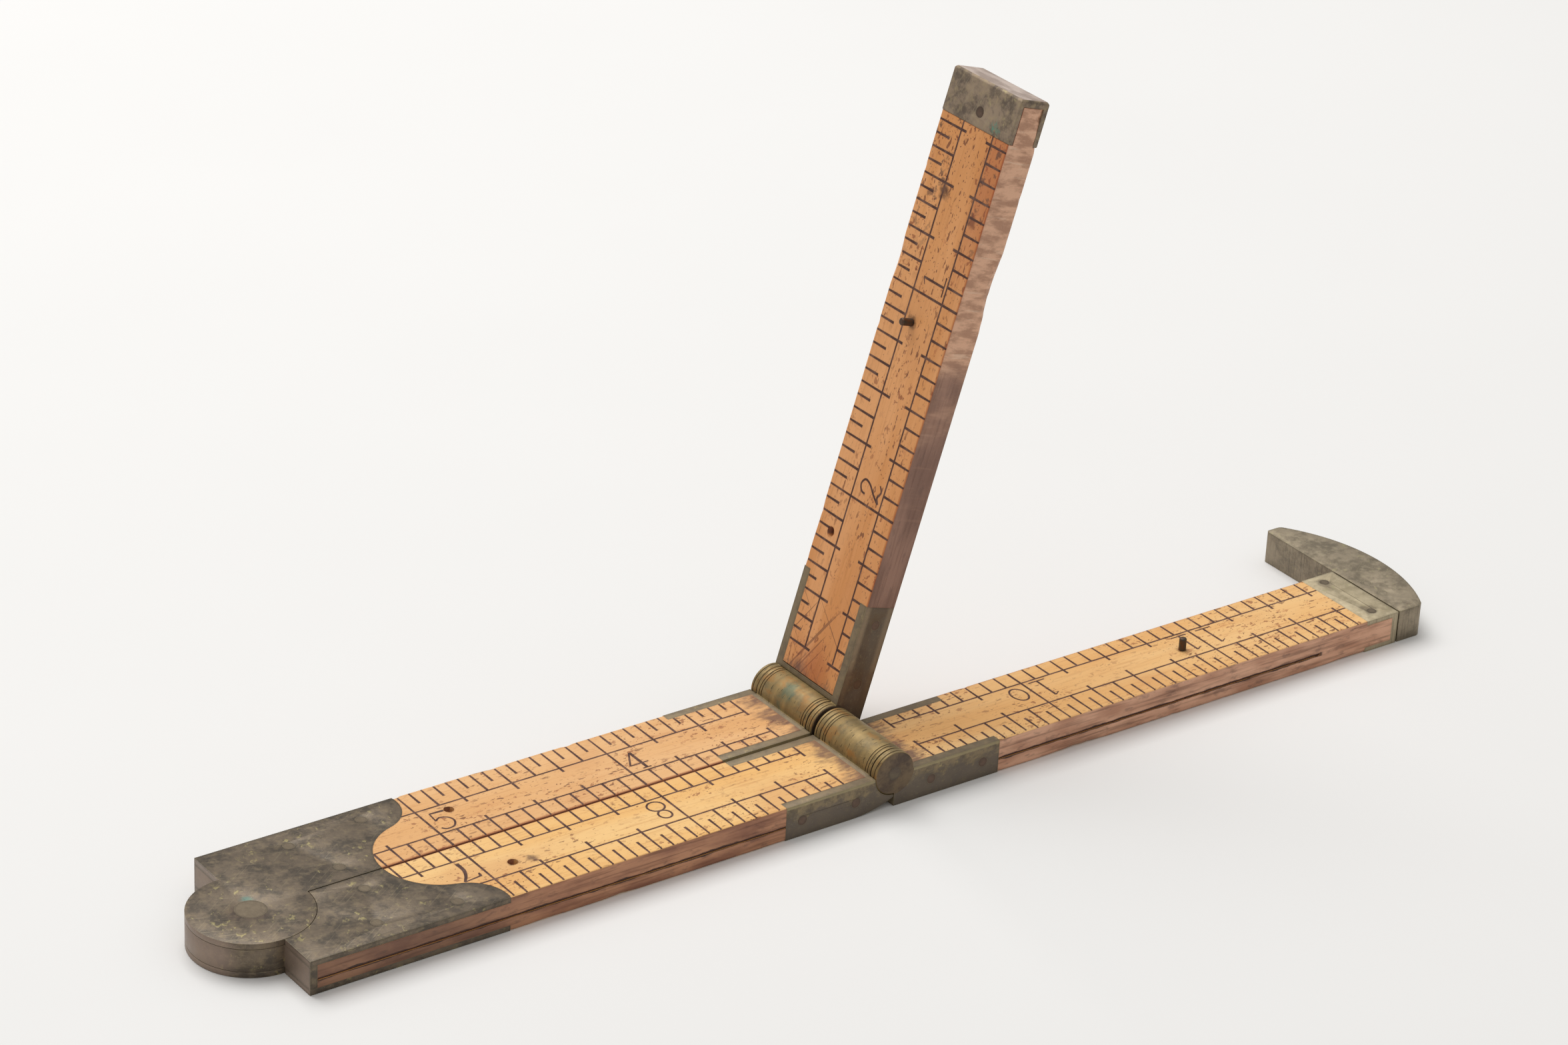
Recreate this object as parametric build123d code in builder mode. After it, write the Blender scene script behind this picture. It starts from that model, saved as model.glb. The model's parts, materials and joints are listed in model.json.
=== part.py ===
from build123d import *
import os

# One-foot, four-fold boxwood caliper rule with brass joints. All sizes are millimetres.
#
# Frame: the origin is the middle of the arch joint, on the underside of the rule.
# +X runs along the two inner leaves to their knuckle joints, and on along leaf 4.
# +Y goes across the rule from leaf 3 to leaf 2, with the slit between them on Y = 0.
# +Z is up, out of the numbered faces.
#
# Leaves are numbered from the 1-inch end. Leaves 2 and 3 lie side by side with the arch
# joint closed, leaf 4 is folded out flat beyond leaf 3, and leaf 1 stands up from leaf 2.
# Leaves 3 and 4 are drawn on the -Y side. Leaves 1 and 2 repeat them on the +Y side.

# ---------------------------------------------------------------- driving dimensions
INCH = 25.4
LEAF_LENGTH = 3 * INCH  # joint to joint, and knuckle to tip
LEAF_THICK = 4.2
LEAF_EDGE = 12.3  # outer edge of a leaf, from the middle of the slit
WOOD_SLIT = 0.1  # half the slit between wooden edges
EDGE_ROUND = 0.25  # worn long edges of the boxwood

RUNNING_GAP = 0.06  # clearance of every piece that turns or slides
RIVET_R = 0.6
LEAF_1_RAISED = 73.5  # degrees that leaf 1 stands up from lying open flat

# Arch joint
DISC_R = 7.0
ARCH_PLATE = 0.7  # thickness of the inlaid face plates
SHOULDER = 0.05  # the square shoulders stop against each other when opened
SHOULDER_PLATE = 0.9
ARCH_SLIT = 0.08  # half the slit between the arch plates
ARCH_TIP = 16.3  # where the wooden lobe starts on the slit
ARCH_TURN = (21.5, 6.9)  # where the lobe's curve turns back
ARCH_END = 24.9  # where the plate ends at the outer edge
TANG_LENGTH = 15.0
TANG_EDGE = 10.8  # outer side of the tang let into the wood
PIVOT_R = 1.8
ARCH_RIVET_R = 0.7
ARCH_RIVETS = ((10.0, 9.2), (12.5, 2.6), (19.6, 10.0))
LEAF_3_ARCH_RIVETS = tuple((x, -y) for x, y in ARCH_RIVETS)

# Knuckle joints
KNUCKLE_X = LEAF_LENGTH
AXIS_Z = LEAF_THICK + 0.05  # leaves fold face to face, 0.1 apart
KNUCKLE_R = 2.65
BRASS_SLIT = 0.25  # half the slit between the hinge straps
EAR = 1.15  # thickness of an ear and of a side plate
PIN_R = 0.85
STRAP_LENGTH = 15.0  # side plates, from the joint line
CROSS_FAR = 3.3  # wooden side of the cross plate, from the axis
SEAM = 0.05  # half the gap between the abutting ends
BEAK_START = KNUCKLE_X - 6.0  # inner straps are worn round underneath, from here
BEAK_TIP = 1.2  # to this height at the joint line
TOE_ROUND = 0.8  # lower corner of the outer straps at the joint line
TURNED_LINE = 0.1  # depth and width of the turned lines on ears and barrels
BARREL_LINES = (0.5, 0.9)  # from each end of a barrel
EAR_LINE = 0.7  # from the inner face of an ear
EAR_BEVEL = 0.12
STRAP_RIVETS = (5.3, 12.7)  # from the axis
STRAP_RIVET_Z = 2.0

# Ends of leaves 1 and 4
CAP_PLATE = 0.6
CAP_END = 0.9
TIP_CAP_LENGTH = 5.35
CALIPER_CAP_LENGTH = 5.0
OPEN_END = KNUCKLE_X + LEAF_LENGTH
CALIPER_END = OPEN_END + 0.1
TIP_RIVET = (72.6, 6.2)
CALIPER_CAP_RIVETS = ((2.3, -1.75), (2.3, -10.4))  # from the cap's inner end
SHRINKAGE = 0.12  # the dry wood of leaf 1 has drawn back from its cross plate
CORNER = 0.4

# Alignment pins and their holes, from the knuckle axis
ALIGN_FAR = 47.2
ALIGN_R = 0.45
ALIGN_HOLE_R = 0.6
ALIGN_HOLE_DEPTH = 2.2
ALIGN_PROUD = 1.6
ALIGN_SUNK = 2.0
ALIGN_Y_CALIPER = 6.2  # between leaves 3 and 4
ALIGN_Y_PLAIN = 6.9  # between leaves 1 and 2

# Caliper
BAR_Y = 6.1
BAR_WIDE = 6.2  # at the dovetail's wide, inner side
BAR_NARROW = 5.0  # at the underside
BAR_THICK = 1.7
BAR_RECESS = 0.05  # the bar sits this far inside the underside
BAR_START = KNUCKLE_X + 22.0
GROOVE_SPARE = 0.5  # the groove runs on past the bar
JAW_FACE = OPEN_END + 0.3
JAW_NEAR_THICK = 3.6
JAW_DEEPEST = 6.9
JAW_DEEPEST_Y = -1.0
JAW_TIP_THICK = 2.2
JAW_ROUND = 0.9
HOOK_TIP = 12.5
TENON = 2.8
JAW_RIVET_X = JAW_FACE + 1.5
JAW_RIVETS = ((JAW_RIVET_X, -4.6), (JAW_RIVET_X, -7.6))

# Wear and marks that are real shape
SCORE_Z = 1.75  # line scored along the outer edges of leaves 3 and 4
SCORE_WIDE = 0.22
SCORE_DEEP = 0.15
SCORE_END = KNUCKLE_X + 64.0
PIT = (KNUCKLE_X + 20.3, 9.7)  # old nail hole in leaf 1, seen with the leaf lying open
PIT_R = 0.6
PIT_DEPTH = 0.9

# ---------------------------------------------------------------- worked-out sizes
LEAF_WIDE = LEAF_EDGE - WOOD_SLIT
LEAF_MIDDLE = (LEAF_EDGE + WOOD_SLIT) / 2
STRAP_WIDE = LEAF_EDGE - BRASS_SLIT
TONGUE_NEAR = BRASS_SLIT + EAR  # the wooden tongue between the side plates
TONGUE_FAR = LEAF_EDGE - EAR
TONGUE_WIDE = TONGUE_FAR - TONGUE_NEAR
STRAP_MIDDLE = (TONGUE_NEAR + TONGUE_FAR) / 2
EAR_PLACES = (BRASS_SLIT, TONGUE_FAR)
BARREL_LONG = TONGUE_WIDE - 2 * RUNNING_GAP
CORE_THICK = LEAF_THICK - 2 * ARCH_PLATE
INNER_END = KNUCKLE_X - CROSS_FAR
OUTER_START = KNUCKLE_X + CROSS_FAR
STRAP_START = KNUCKLE_X - STRAP_LENGTH
STRAP_END = KNUCKLE_X + STRAP_LENGTH
DISC_SIDE_GAP = RUNNING_GAP / 2
INNER_START = SHOULDER + SHOULDER_PLATE
CALIPER_WOOD_END = CALIPER_END - CAP_END
CALIPER_CAP_START = CALIPER_END - CALIPER_CAP_LENGTH
TIP_WOOD_END = OPEN_END - CAP_END
TIP_CAP_START = OPEN_END - TIP_CAP_LENGTH
TIP_RIVET_PLACE = (KNUCKLE_X + TIP_RIVET[0], TIP_RIVET[1])
CAP_RIVET_PLACES = tuple((CALIPER_CAP_START + x, y) for x, y in CALIPER_CAP_RIVETS)
GROOVE_START = BAR_START - GROOVE_SPARE
GROOVE_TOP = BAR_RECESS + BAR_THICK + RUNNING_GAP
BAR_FLARE = (BAR_WIDE - BAR_NARROW) / 2 / BAR_THICK  # how far a side leans out, per mm up
AXIS = Axis((KNUCKLE_X, 0, AXIS_Z), (0, 1, 0))

os.makedirs("parts", exist_ok=True)


def save(piece, name):
    """Label a finished piece and write it as its own STEP file."""
    piece.label = name
    export_step(piece, f"parts/{name}.step")


def far_side(piece):
    """The same piece on the other side of the slit."""
    return mirror(piece, about=Plane.XZ)


def raised(piece):
    """A leaf-1 piece, swung up about its knuckle from lying open flat."""
    return piece.rotate(AXIS, -LEAF_1_RAISED)


# ================================================================ arch joint
# Outline of an arch plate for leaf 2: square at the shoulder, with a curve that rounds the
# wooden lobe at the slit and turns back to the outer edge.
with BuildSketch() as arch_outline:
    with BuildLine():
        slit = Line((SHOULDER, ARCH_SLIT), (ARCH_TIP, ARCH_SLIT))
        lobe = TangentArc(slit @ 1, ARCH_TURN, tangent=(0, 1))
        turned_back = TangentArc(lobe @ 1, (ARCH_END, LEAF_EDGE), tangent=lobe % 1)
        Polyline(turned_back @ 1, (SHOULDER, LEAF_EDGE), slit @ 0)
    make_face()

# Outline of the tang and shoulder that sit between the two plates of one leaf.
with BuildSketch() as tang_outline:
    with BuildLine():
        Polyline(
            (SHOULDER, ARCH_SLIT),
            (TANG_LENGTH, ARCH_SLIT),
            (TANG_LENGTH, TANG_EDGE),
            (SHOULDER + SHOULDER_PLATE, TANG_EDGE),
            (SHOULDER + SHOULDER_PLATE, LEAF_EDGE),
            (SHOULDER, LEAF_EDGE),
            close=True,
        )
    make_face()

# Leaf 2 carries the full round discs on both faces, and the pivot pin.
with BuildSketch() as disc_plate_outline:
    add(arch_outline.sketch)
    Circle(DISC_R)
    Circle(PIVOT_R, mode=Mode.SUBTRACT)
    with Locations(*ARCH_RIVETS):
        Circle(ARCH_RIVET_R, mode=Mode.SUBTRACT)

with BuildPart() as leaf_2_top_arch_plate:
    with BuildSketch(Plane.XY.offset(LEAF_THICK - ARCH_PLATE)):
        add(disc_plate_outline.sketch)
    extrude(amount=ARCH_PLATE)
save(leaf_2_top_arch_plate.part, "leaf_2_top_arch_plate")

with BuildPart() as leaf_2_bottom_arch_plate:
    with BuildSketch(Plane.XY):
        add(disc_plate_outline.sketch)
    extrude(amount=ARCH_PLATE)
save(leaf_2_bottom_arch_plate.part, "leaf_2_bottom_arch_plate")

# The leaf 2 core is hollowed round the turning disc of leaf 3.
with BuildPart() as leaf_2_arch_core:
    with BuildSketch(Plane.XY.offset(ARCH_PLATE)):
        add(tang_outline.sketch)
        Circle(DISC_R + RUNNING_GAP, mode=Mode.SUBTRACT)
        with Locations(*ARCH_RIVETS):
            Circle(ARCH_RIVET_R, mode=Mode.SUBTRACT)
    extrude(amount=CORE_THICK)
save(leaf_2_arch_core.part, "leaf_2_arch_core")

with BuildPart() as arch_pivot_pin:
    with BuildSketch(Plane.XY):
        Circle(PIVOT_R)
    extrude(amount=LEAF_THICK)
save(arch_pivot_pin.part, "arch_pivot_pin")

# Rivets through plate, core or wood, and plate.
with BuildPart() as leaf_2_arch_rivets:
    with BuildSketch(Plane.XY):
        with Locations(*ARCH_RIVETS):
            Circle(ARCH_RIVET_R)
    extrude(amount=LEAF_THICK)
save(leaf_2_arch_rivets.part, "leaf_2_arch_rivets")
save(far_side(leaf_2_arch_rivets.part), "leaf_3_arch_rivets")

# Leaf 3 carries the middle disc, and its face plates are hollowed round leaf 2's discs.
with BuildSketch() as hollow_plate_outline:
    mirror(arch_outline.sketch, about=Plane.XZ)
    Circle(DISC_R + RUNNING_GAP, mode=Mode.SUBTRACT)
    with Locations(*LEAF_3_ARCH_RIVETS):
        Circle(ARCH_RIVET_R, mode=Mode.SUBTRACT)

with BuildPart() as leaf_3_top_arch_plate:
    with BuildSketch(Plane.XY.offset(LEAF_THICK - ARCH_PLATE)):
        add(hollow_plate_outline.sketch)
    extrude(amount=ARCH_PLATE)
save(leaf_3_top_arch_plate.part, "leaf_3_top_arch_plate")

with BuildPart() as leaf_3_bottom_arch_plate:
    with BuildSketch(Plane.XY):
        add(hollow_plate_outline.sketch)
    extrude(amount=ARCH_PLATE)
save(leaf_3_bottom_arch_plate.part, "leaf_3_bottom_arch_plate")

with BuildPart() as leaf_3_arch_core:
    with BuildSketch(Plane.XY.offset(ARCH_PLATE)):
        mirror(tang_outline.sketch, about=Plane.XZ)
        Circle(DISC_R + RUNNING_GAP, mode=Mode.SUBTRACT)
    extrude(amount=CORE_THICK)
    with BuildSketch(Plane.XY.offset(ARCH_PLATE + DISC_SIDE_GAP)):
        mirror(tang_outline.sketch, about=Plane.XZ)
        Circle(DISC_R)
    extrude(amount=CORE_THICK - 2 * DISC_SIDE_GAP)
    with BuildSketch(Plane.XY):
        Circle(PIVOT_R + RUNNING_GAP)
        with Locations(*LEAF_3_ARCH_RIVETS):
            Circle(ARCH_RIVET_R)
    extrude(amount=LEAF_THICK, mode=Mode.SUBTRACT)
save(leaf_3_arch_core.part, "leaf_3_arch_core")

# ================================================================ knuckle joints
# Strap of leaf 3: two side plates along the wood, a cross plate across its end, and the
# barrel of the knuckle above the abutting end.
with BuildPart() as leaf_3_hinge_strap:
    with BuildSketch(Plane.XZ.offset(TONGUE_NEAR + RUNNING_GAP)):
        with Locations((KNUCKLE_X, AXIS_Z)):
            Circle(KNUCKLE_R)
    extrude(amount=BARREL_LONG)
    # turned lines near both ends of the barrel
    for place in (*BARREL_LINES, *(BARREL_LONG - line for line in BARREL_LINES)):
        with BuildSketch(Plane.XZ.offset(TONGUE_NEAR + RUNNING_GAP + place - TURNED_LINE / 2)):
            with Locations((KNUCKLE_X, AXIS_Z)):
                Circle(KNUCKLE_R)
                Circle(KNUCKLE_R - TURNED_LINE, mode=Mode.SUBTRACT)
        extrude(amount=TURNED_LINE, mode=Mode.SUBTRACT)
    # side plates and end block, worn round underneath towards the joint line
    with BuildSketch(Plane.XZ.offset(BRASS_SLIT)):
        with BuildLine():
            Polyline((STRAP_START, LEAF_THICK), (STRAP_START, 0), (BEAK_START, 0))
            TangentArc((BEAK_START, 0), (KNUCKLE_X - SEAM, BEAK_TIP), tangent=(1, 0))
            Polyline(
                (KNUCKLE_X - SEAM, BEAK_TIP),
                (KNUCKLE_X - SEAM, LEAF_THICK),
                (STRAP_START, LEAF_THICK),
            )
        make_face()
    extrude(amount=STRAP_WIDE)
    # room for the wooden tongue
    with BuildSketch(Plane.XY):
        with Locations(((STRAP_START + INNER_END) / 2, -STRAP_MIDDLE)):
            Rectangle(INNER_END - STRAP_START, TONGUE_WIDE)
    extrude(amount=LEAF_THICK, mode=Mode.SUBTRACT)
    # round hollows for the ears of leaf 4
    for place in (BRASS_SLIT, TONGUE_FAR - RUNNING_GAP):
        with BuildSketch(Plane.XZ.offset(place)):
            with Locations((KNUCKLE_X, AXIS_Z)):
                Circle(KNUCKLE_R + RUNNING_GAP)
        extrude(amount=EAR + RUNNING_GAP, mode=Mode.SUBTRACT)
    # bore for the knuckle pin, and holes for the cross rivets
    with BuildSketch(Plane.XZ):
        with Locations((KNUCKLE_X, AXIS_Z)):
            Circle(PIN_R + RUNNING_GAP)
        with Locations(*[(KNUCKLE_X - far, STRAP_RIVET_Z) for far in STRAP_RIVETS]):
            Circle(RIVET_R)
    extrude(amount=LEAF_EDGE, mode=Mode.SUBTRACT)
save(leaf_3_hinge_strap.part, "leaf_3_hinge_strap")
save(far_side(leaf_3_hinge_strap.part), "leaf_2_hinge_strap")

# Strap of leaf 4: two side plates that end in round ears, and an end block hollowed round
# the barrel of leaf 3.
with BuildPart() as leaf_4_hinge_strap:
    for place in EAR_PLACES:
        with BuildSketch(Plane.XZ.offset(place)):
            with Locations((KNUCKLE_X, AXIS_Z)):
                Circle(KNUCKLE_R)
        extrude(amount=EAR)
    chamfer(leaf_4_hinge_strap.edges().filter_by(GeomType.CIRCLE), EAR_BEVEL)
    for place in (BRASS_SLIT + EAR - EAR_LINE, TONGUE_FAR + EAR_LINE):
        with BuildSketch(Plane.XZ.offset(place - TURNED_LINE / 2)):
            with Locations((KNUCKLE_X, AXIS_Z)):
                Circle(KNUCKLE_R)
                Circle(KNUCKLE_R - TURNED_LINE, mode=Mode.SUBTRACT)
        extrude(amount=TURNED_LINE, mode=Mode.SUBTRACT)
    # side plates and end block
    with BuildSketch(Plane.XZ.offset(BRASS_SLIT)) as outer_side:
        with Locations(((KNUCKLE_X + SEAM + STRAP_END) / 2, LEAF_THICK / 2)):
            Rectangle(STRAP_END - KNUCKLE_X - SEAM, LEAF_THICK)
        fillet(outer_side.vertices().group_by(Axis.X)[0].sort_by(Axis.Z)[0], TOE_ROUND)
    extrude(amount=STRAP_WIDE)
    with BuildSketch(Plane.XY):
        with Locations(((STRAP_END + OUTER_START) / 2, -STRAP_MIDDLE)):
            Rectangle(STRAP_END - OUTER_START, TONGUE_WIDE)
    extrude(amount=LEAF_THICK, mode=Mode.SUBTRACT)
    # round hollow for the barrel
    with BuildSketch(Plane.XZ.offset(TONGUE_NEAR)):
        with Locations((KNUCKLE_X, AXIS_Z)):
            Circle(KNUCKLE_R + RUNNING_GAP)
    extrude(amount=TONGUE_WIDE, mode=Mode.SUBTRACT)
    with BuildSketch(Plane.XZ):
        with Locations((KNUCKLE_X, AXIS_Z)):
            Circle(PIN_R)
        with Locations(*[(KNUCKLE_X + far, STRAP_RIVET_Z) for far in STRAP_RIVETS]):
            Circle(RIVET_R)
    extrude(amount=LEAF_EDGE, mode=Mode.SUBTRACT)
save(leaf_4_hinge_strap.part, "leaf_4_hinge_strap")
save(raised(far_side(leaf_4_hinge_strap.part)), "leaf_1_hinge_strap")

# The knuckle pin is tight in the ears and free in the barrel.
with BuildPart() as leaf_4_knuckle_pin:
    with BuildSketch(Plane.XZ.offset(BRASS_SLIT)):
        with Locations((KNUCKLE_X, AXIS_Z)):
            Circle(PIN_R)
    extrude(amount=STRAP_WIDE)
save(leaf_4_knuckle_pin.part, "leaf_4_knuckle_pin")
save(raised(far_side(leaf_4_knuckle_pin.part)), "leaf_1_knuckle_pin")

# Cross rivets run through both side plates and the wooden tongue between them.
with BuildPart() as leaf_3_strap_rivets:
    with BuildSketch(Plane.XZ.offset(BRASS_SLIT)):
        with Locations(*[(KNUCKLE_X - far, STRAP_RIVET_Z) for far in STRAP_RIVETS]):
            Circle(RIVET_R)
    extrude(amount=STRAP_WIDE)
save(leaf_3_strap_rivets.part, "leaf_3_strap_rivets")
save(far_side(leaf_3_strap_rivets.part), "leaf_2_strap_rivets")

with BuildPart() as leaf_4_strap_rivets:
    with BuildSketch(Plane.XZ.offset(BRASS_SLIT)):
        with Locations(*[(KNUCKLE_X + far, STRAP_RIVET_Z) for far in STRAP_RIVETS]):
            Circle(RIVET_R)
    extrude(amount=STRAP_WIDE)
save(leaf_4_strap_rivets.part, "leaf_4_strap_rivets")
save(raised(far_side(leaf_4_strap_rivets.part)), "leaf_1_strap_rivets")

# ================================================================ boxwood of the inner leaves
# Wood of an inner leaf, drawn on leaf 3's side, with the pockets that its brass is let into.
with BuildPart() as inner_wood:
    with BuildSketch(Plane.XY):
        with Locations(((INNER_START + INNER_END) / 2, -LEAF_MIDDLE)):
            Rectangle(INNER_END - INNER_START, LEAF_WIDE)
    extrude(amount=LEAF_THICK)
    fillet(inner_wood.edges().filter_by(Axis.X), EDGE_ROUND)
    with BuildSketch(Plane.XY, Plane.XY.offset(LEAF_THICK - ARCH_PLATE)):
        mirror(arch_outline.sketch, about=Plane.XZ)
        with Locations((ARCH_TIP / 2, -ARCH_SLIT)):
            Rectangle(ARCH_TIP, 2 * ARCH_SLIT)
    extrude(amount=ARCH_PLATE, mode=Mode.SUBTRACT)
    with BuildSketch(Plane.XY):
        with Locations((TANG_LENGTH / 2, -TANG_EDGE / 2)):
            Rectangle(TANG_LENGTH, TANG_EDGE)
        with Locations(*LEAF_3_ARCH_RIVETS):
            Circle(ARCH_RIVET_R)
    extrude(amount=LEAF_THICK, mode=Mode.SUBTRACT)
    # shoulders cut for the hinge strap, leaving the tongue
    for low, high in ((0, TONGUE_NEAR), (TONGUE_FAR, LEAF_EDGE)):
        with BuildSketch(Plane.XY):
            with Locations(((STRAP_START + INNER_END) / 2, -(low + high) / 2)):
                Rectangle(INNER_END - STRAP_START, high - low)
        extrude(amount=LEAF_THICK, mode=Mode.SUBTRACT)
    with BuildSketch(Plane.XZ):
        with Locations(*[(KNUCKLE_X - far, STRAP_RIVET_Z) for far in STRAP_RIVETS]):
            Circle(RIVET_R)
    extrude(amount=LEAF_EDGE, mode=Mode.SUBTRACT)

with BuildPart() as leaf_3_wood:
    add(inner_wood.part)
    # hole that takes the alignment pin of leaf 4
    with BuildSketch(Plane.XY.offset(LEAF_THICK)):
        with Locations((KNUCKLE_X - ALIGN_FAR, -ALIGN_Y_CALIPER)):
            Circle(ALIGN_HOLE_R)
    extrude(amount=-ALIGN_HOLE_DEPTH, mode=Mode.SUBTRACT)
    # line scored along the outer edge
    with BuildSketch(Plane.XZ.offset(LEAF_EDGE)):
        with Locations(((INNER_START + STRAP_START) / 2, SCORE_Z)):
            Rectangle(STRAP_START - INNER_START, SCORE_WIDE)
    extrude(amount=-SCORE_DEEP, mode=Mode.SUBTRACT)
save(leaf_3_wood.part, "leaf_3_wood")

with BuildPart() as leaf_2_wood:
    add(far_side(inner_wood.part))
    # hole that takes the alignment pin of leaf 1
    with BuildSketch(Plane.XY.offset(LEAF_THICK)):
        with Locations((KNUCKLE_X - ALIGN_FAR, ALIGN_Y_PLAIN)):
            Circle(ALIGN_HOLE_R)
    extrude(amount=-ALIGN_HOLE_DEPTH, mode=Mode.SUBTRACT)
save(leaf_2_wood.part, "leaf_2_wood")

# ================================================================ leaf 4 and its caliper
# Dovetailed groove for the caliper bar, in the underside, with the bar's own section.
with BuildSketch() as bar_section:
    with BuildLine():
        Polyline(
            (-BAR_Y - BAR_NARROW / 2, BAR_RECESS),
            (-BAR_Y + BAR_NARROW / 2, BAR_RECESS),
            (-BAR_Y + BAR_WIDE / 2, BAR_RECESS + BAR_THICK),
            (-BAR_Y - BAR_WIDE / 2, BAR_RECESS + BAR_THICK),
            close=True,
        )
    make_face()

with BuildSketch() as groove_section:
    with BuildLine():
        Polyline(
            (-BAR_Y - BAR_NARROW / 2 - RUNNING_GAP + BAR_FLARE * BAR_RECESS, 0),
            (-BAR_Y + BAR_NARROW / 2 + RUNNING_GAP - BAR_FLARE * BAR_RECESS, 0),
            (-BAR_Y + BAR_WIDE / 2 + RUNNING_GAP + BAR_FLARE * RUNNING_GAP, GROOVE_TOP),
            (-BAR_Y - BAR_WIDE / 2 - RUNNING_GAP - BAR_FLARE * RUNNING_GAP, GROOVE_TOP),
            close=True,
        )
    make_face()

with BuildPart() as leaf_4_wood:
    with BuildSketch(Plane.XY):
        with Locations(((OUTER_START + CALIPER_WOOD_END) / 2, -LEAF_MIDDLE)):
            Rectangle(CALIPER_WOOD_END - OUTER_START, LEAF_WIDE)
    extrude(amount=LEAF_THICK)
    fillet(leaf_4_wood.edges().filter_by(Axis.X), EDGE_ROUND)
    # the end cap's plates are let in flush on both faces
    with BuildSketch(Plane.XY, Plane.XY.offset(LEAF_THICK - CAP_PLATE)):
        with Locations(((CALIPER_CAP_START + CALIPER_WOOD_END) / 2, -LEAF_MIDDLE)):
            Rectangle(CALIPER_WOOD_END - CALIPER_CAP_START, LEAF_WIDE)
    extrude(amount=CAP_PLATE, mode=Mode.SUBTRACT)
    with BuildSketch(Plane.YZ.offset(GROOVE_START)):
        add(groove_section.sketch)
    extrude(amount=CALIPER_WOOD_END - GROOVE_START, mode=Mode.SUBTRACT)
    for low, high in ((0, TONGUE_NEAR), (TONGUE_FAR, LEAF_EDGE)):
        with BuildSketch(Plane.XY):
            with Locations(((STRAP_END + OUTER_START) / 2, -(low + high) / 2)):
                Rectangle(STRAP_END - OUTER_START, high - low)
        extrude(amount=LEAF_THICK, mode=Mode.SUBTRACT)
    with BuildSketch(Plane.XZ):
        with Locations(*[(KNUCKLE_X + far, STRAP_RIVET_Z) for far in STRAP_RIVETS]):
            Circle(RIVET_R)
    extrude(amount=LEAF_EDGE, mode=Mode.SUBTRACT)
    with BuildSketch(Plane.XY):
        with Locations(*CAP_RIVET_PLACES):
            Circle(RIVET_R)
    extrude(amount=LEAF_THICK, mode=Mode.SUBTRACT)
    with BuildSketch(Plane.XY.offset(LEAF_THICK)):
        with Locations((KNUCKLE_X + ALIGN_FAR, -ALIGN_Y_CALIPER)):
            Circle(ALIGN_R)
    extrude(amount=-ALIGN_SUNK, mode=Mode.SUBTRACT)
    with BuildSketch(Plane.XZ.offset(LEAF_EDGE)):
        with Locations(((STRAP_END + SCORE_END) / 2, SCORE_Z)):
            Rectangle(SCORE_END - STRAP_END, SCORE_WIDE)
    extrude(amount=-SCORE_DEEP, mode=Mode.SUBTRACT)
save(leaf_4_wood.part, "leaf_4_wood")

with BuildPart() as leaf_4_end_cap:
    with BuildSketch(Plane.XY):
        with Locations(((CALIPER_CAP_START + CALIPER_END) / 2, -LEAF_MIDDLE)):
            Rectangle(CALIPER_CAP_LENGTH, LEAF_WIDE)
    extrude(amount=LEAF_THICK)
    with BuildSketch(Plane.XY.offset(CAP_PLATE)):
        with Locations(((CALIPER_CAP_START + CALIPER_WOOD_END) / 2, -LEAF_MIDDLE)):
            Rectangle(CALIPER_WOOD_END - CALIPER_CAP_START, LEAF_WIDE)
    extrude(amount=LEAF_THICK - 2 * CAP_PLATE, mode=Mode.SUBTRACT)
    with BuildSketch(Plane.YZ.offset(CALIPER_CAP_START)):
        add(groove_section.sketch)
    extrude(amount=CALIPER_CAP_LENGTH, mode=Mode.SUBTRACT)
    with BuildSketch(Plane.XY):
        with Locations(*CAP_RIVET_PLACES):
            Circle(RIVET_R)
    extrude(amount=LEAF_THICK, mode=Mode.SUBTRACT)
save(leaf_4_end_cap.part, "leaf_4_end_cap")

with BuildPart() as leaf_4_cap_rivets:
    with BuildSketch(Plane.XY):
        with Locations(*CAP_RIVET_PLACES):
            Circle(RIVET_R)
    extrude(amount=LEAF_THICK)
save(leaf_4_cap_rivets.part, "leaf_4_cap_rivets")

with BuildPart() as leaf_4_alignment_pin:
    with BuildSketch(Plane.XY.offset(LEAF_THICK - ALIGN_SUNK)):
        with Locations((KNUCKLE_X + ALIGN_FAR, -ALIGN_Y_CALIPER)):
            Circle(ALIGN_R)
    extrude(amount=ALIGN_SUNK + ALIGN_PROUD)
    fillet(leaf_4_alignment_pin.faces().sort_by(Axis.Z)[-1].edges(), ALIGN_R / 2)
save(leaf_4_alignment_pin.part, "leaf_4_alignment_pin")

# Dovetailed bar that slides in leaf 4, with a tenon into the jaw.
with BuildPart() as caliper_bar:
    with BuildSketch(Plane.YZ.offset(BAR_START)):
        add(bar_section.sketch)
    extrude(amount=JAW_FACE + TENON - BAR_START)
    with BuildSketch(Plane.XY):
        with Locations(*JAW_RIVETS):
            Circle(RIVET_R)
    extrude(amount=LEAF_THICK, mode=Mode.SUBTRACT)
save(caliper_bar.part, "caliper_bar")

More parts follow.
